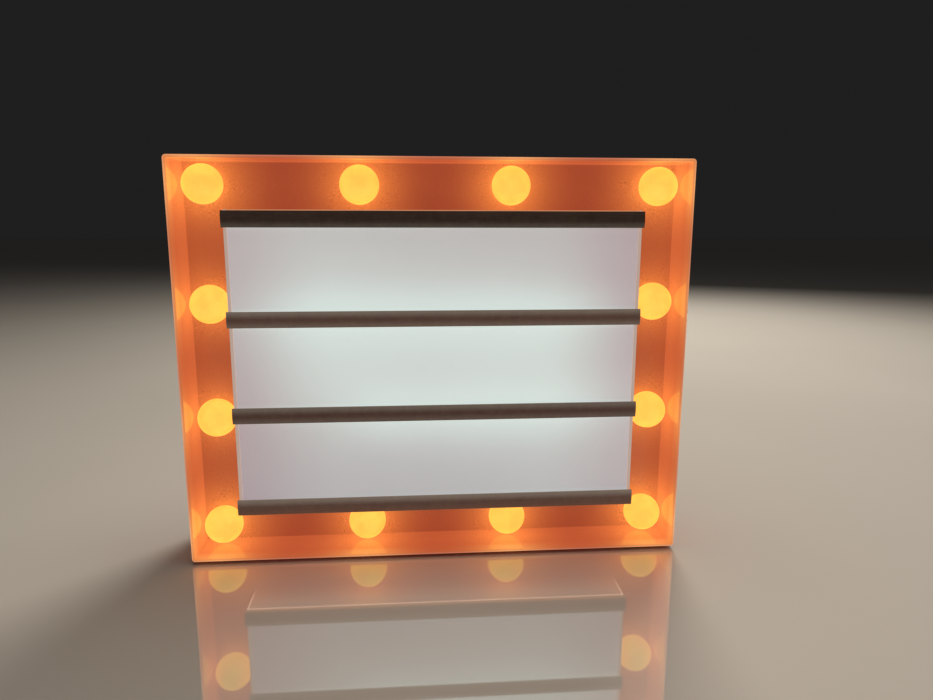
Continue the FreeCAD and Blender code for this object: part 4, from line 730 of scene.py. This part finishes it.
# %% Sleeve, band and bare ends
def cell_wrap(name, upright):
    """Each step is at a share of the cell's length, 0 at its flat end and 1 at its button."""
    low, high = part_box(name)
    length = high[2] - low[2]
    material, place = begin(name)
    height = part(place, "Z") - low[2]
    along = (height if upright else length - height) * (1 / length)
    in_band = rise(along, 0.70, 0.71)
    edge_line = in_band * rise(along, 0.735, 0.728)
    thin_line = rise(along, 0.675, 0.678) * rise(along, 0.69, 0.687)
    bare = 1 - rise(along, 0.008, 0.012) * rise(along, 0.968, 0.962)
    bright = rise(bare + (edge_line + thin_line) * 0.9, 0.0, 1.0)
    scratches = noise(place * (1.0, 1.0, 0.15), 0.35 * MILLIMETRE, detail=4, roughness=0.7)
    sleeve = mix(in_band, linear(34, 36, 42), linear(184, 120, 66))
    tint = mix(bright, sleeve, linear(205, 206, 208))
    return surface(material, {
        "Base Color": tint * (1 + (scratches - 0.5) * 0.12),
        "Metallic": rise(bare + in_band * 0.6, 0.0, 1.0),
        "Roughness": 0.30 + (scratches - 0.5) * 0.25,
        "Normal": relief(scratches, 0.008 * MILLIMETRE)})


for number in range(1, 7):
    cell = f"battery_cell_{number}"
    lay(cell_wrap(cell, upright=number % 2 == 1), cell)

# %% [markdown]
# ## Off and on marks
#
# A ring and a bar beside the switch's knob show which way is off and which is on. They could be
# painted by a mask, but a mask has no edge to catch the light. So they are two tiny raised
# pieces on the floor of the switch's pocket. Each is made from its outline, once low and once
# high, with faces between and a small bevel, which gives a clean edge from few faces.

# %% Places and outlines of the marks
KNOB_LOW, KNOB_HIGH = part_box("switch_knob")
POCKET_DEPTH = 2.4 * MILLIMETRE
POCKET_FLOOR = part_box("rear_cover")[1][1] - POCKET_DEPTH
POCKET_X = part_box("switch_body")[0][0] / 2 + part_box("switch_body")[1][0] / 2
MARK_Z = (KNOB_LOW[2] + KNOB_HIGH[2]) / 2
MARK_REACH = 7.6 * MILLIMETRE
OFF_X, ON_X = POCKET_X - MARK_REACH, POCKET_X + MARK_REACH
# how far a mark goes into the pocket's floor, and how far it stands out
MARK_ROOT, MARK_HEIGHT = 0.02 * MILLIMETRE, 0.12 * MILLIMETRE


def circle(radius, middle_x, count=40):
    turn = 2 * math.pi / count
    return [(middle_x + radius * math.cos(i * turn), MARK_Z + radius * math.sin(i * turn))
            for i in range(count)]


def bar(width, height, middle_x):
    x, z = width / 2, height / 2
    return [(middle_x - x, MARK_Z - z), (middle_x + x, MARK_Z - z),
            (middle_x + x, MARK_Z + z), (middle_x - x, MARK_Z + z)]


print("pocket floor at", POCKET_FLOOR, "off mark at", OFF_X, "on mark at", ON_X)


# %% Build the two marks
def mark_faces(count, hollow):
    """Faces between rings of count points: a low and a high one, then the hole's two."""
    faces = []
    for i in range(count):
        after = (i + 1) % count
        faces.append((i, after, count + after, count + i))
        if hollow:
            faces.append((2 * count + after, 2 * count + i, 3 * count + i, 3 * count + after))
            faces.append((count + i, count + after, 3 * count + after, 3 * count + i))
            faces.append((after, i, 2 * count + i, 2 * count + after))
    if not hollow:
        faces += [tuple(range(count, 2 * count)), tuple(range(count - 1, -1, -1))]
    return faces


def mark(name, outline, hole=None):
    """A flat raised mark: an outline in x and z, and maybe a hole of the same number of points."""
    points = [(x, POCKET_FLOOR + up, z) for ring in (outline, hole) if ring
              for up in (-MARK_ROOT, MARK_HEIGHT) for x, z in ring]
    mesh = bpy.data.meshes.new(name)
    mesh.from_pydata(points, [], mark_faces(len(outline), hollow=hole is not None))
    piece = bpy.data.objects.new(name, mesh)
    bpy.context.scene.collection.objects.link(piece)
    edge = piece.modifiers.new("soft_edge", "BEVEL")
    edge.width = 0.04 * MILLIMETRE
    edge.segments = 2
    piece.data.materials.append(mark_white)
    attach(piece, "case")
    print(name, "has", len(mesh.polygons), "faces")


mark_white = moulded("mark_white", linear(228, 226, 220), linear(244, 242, 238),
                     roughness=0.5, grain=0.3, height=0.01)
mark("off_mark", circle(1.25 * MILLIMETRE, OFF_X), hole=circle(0.85 * MILLIMETRE, OFF_X))
mark("on_mark", bar(0.45 * MILLIMETRE, 2.6 * MILLIMETRE, ON_X))

# %% [markdown]
# ## Floor
#
# The floor isn't part of the object, only what it stands on. A rough one would be simplest, but
# a pale and very smooth one mirrors the bulbs and the screen, which shows that they give light.
# A high index of refraction makes that mirror strong without making the floor metal.

# %% A plain pale floor
FLOOR_REACH = 6.0


def floor_finish():
    material, place = begin("pale_floor")
    cloud = noise(place, 250 * MILLIMETRE, detail=3)
    fine = noise(place, 4 * MILLIMETRE, detail=3)
    return surface(material, {
        "Base Color": mix(cloud, linear(219, 206, 188), linear(227, 214, 196)),
        "Roughness": 0.03 + (cloud - 0.5) * 0.02 + (fine - 0.5) * 0.01,
        "IOR": 3.0})


floor_mesh = bpy.data.meshes.new("floor")
floor_mesh.from_pydata([(-FLOOR_REACH, -FLOOR_REACH, 0), (FLOOR_REACH, -FLOOR_REACH, 0),
                        (FLOOR_REACH, FLOOR_REACH, 0), (-FLOOR_REACH, FLOOR_REACH, 0)],
                       [], [(0, 1, 2, 3)])
floor = bpy.data.objects.new("floor", floor_mesh)
floor.data.materials.append(floor_finish())
bpy.context.scene.collection.objects.link(floor)
print("floor", 2 * FLOOR_REACH, "m wide")

# %% [markdown]
# ## Light
#
# The box glows, so the studio has to stay gentle: a strong lamp in front would wash its colours
# out. One large lamp above lights the floor and only grazes the front. A stronger one behind
# lights the back, and a faint one in front keeps the dark parts from going black. None of them
# shows in the floor's mirror, where it would compete with the bulbs. A view transform that
# compresses bright light would be usual, but it would also dull the amber and the coral, so the
# Standard one shows each colour as it was set.

# %% Soft lamps, a dark room and plain colours
def soft_lamp(name, spot, aim, width, power):
    """A round lamp that lights things without showing in glossy surfaces."""
    light = bpy.data.lights.new(name, "AREA")
    light.shape = "DISK"
    light.size = width
    light.energy = power
    lamp = bpy.data.objects.new(name, light)
    lamp.location = spot
    lamp.rotation_euler = (Vector(aim) - Vector(spot)).to_track_quat("-Z", "Y").to_euler()
    lamp.visible_glossy = False
    bpy.context.scene.collection.objects.link(lamp)
    print(name, "at", spot, "of", power, "W")


soft_lamp("top_lamp", spot=(0.1, 0.1, 1.3), aim=(0, -0.1, 0), width=1.0, power=6.5)
soft_lamp("back_lamp", spot=(0.55, 1.15, 0.95), aim=(0, 0, 0.12), width=0.8, power=20.0)
soft_lamp("front_lamp", spot=(-0.9, -1.5, 0.9), aim=(0, 0, 0.12), width=1.0, power=1.5)

ROOM_GREY = (0.014, 0.0135, 0.0135, 1)
world = bpy.data.worlds.new("studio")
world.use_nodes = True
world.node_tree.nodes["Background"].inputs["Color"].default_value = ROOM_GREY
bpy.context.scene.world = world
bpy.context.scene.view_settings.view_transform = "Standard"

# %% [markdown]
# ## Camera
#
# The camera stands close, a little to the left and above the middle of the case, and looks down
# by about eleven degrees, so the case narrows towards its foot. A longer lens from further away
# would flatten that. Its place and turn come from the straight edges of the case.

# %% Set up the camera
CAMERA_SPOT = (-0.0157, -0.4363, 0.2100)
# in radians
LOOKS_DOWN, LOOKS_RIGHT, LEANS = 0.1889, 0.0792, 0.0026
# the focal length as a share of the view's width
FOCAL_SHARE = 708.7 / 933
SENSOR_WIDTH = 36

camera_data = bpy.data.cameras.new("camera")
camera_data.sensor_width = SENSOR_WIDTH
camera_data.lens = SENSOR_WIDTH * FOCAL_SHARE
camera_data.clip_start = 0.01
camera = bpy.data.objects.new("camera", camera_data)
turned = Euler((math.pi / 2 - LOOKS_DOWN, 0, -LOOKS_RIGHT)).to_matrix()
camera.rotation_euler = (turned @ Matrix.Rotation(LEANS, 3, "Z")).to_euler()
camera.location = CAMERA_SPOT
bpy.context.scene.collection.objects.link(camera)
bpy.context.scene.camera = camera
print("camera", tuple(camera.location), "lens", round(camera_data.lens, 2))
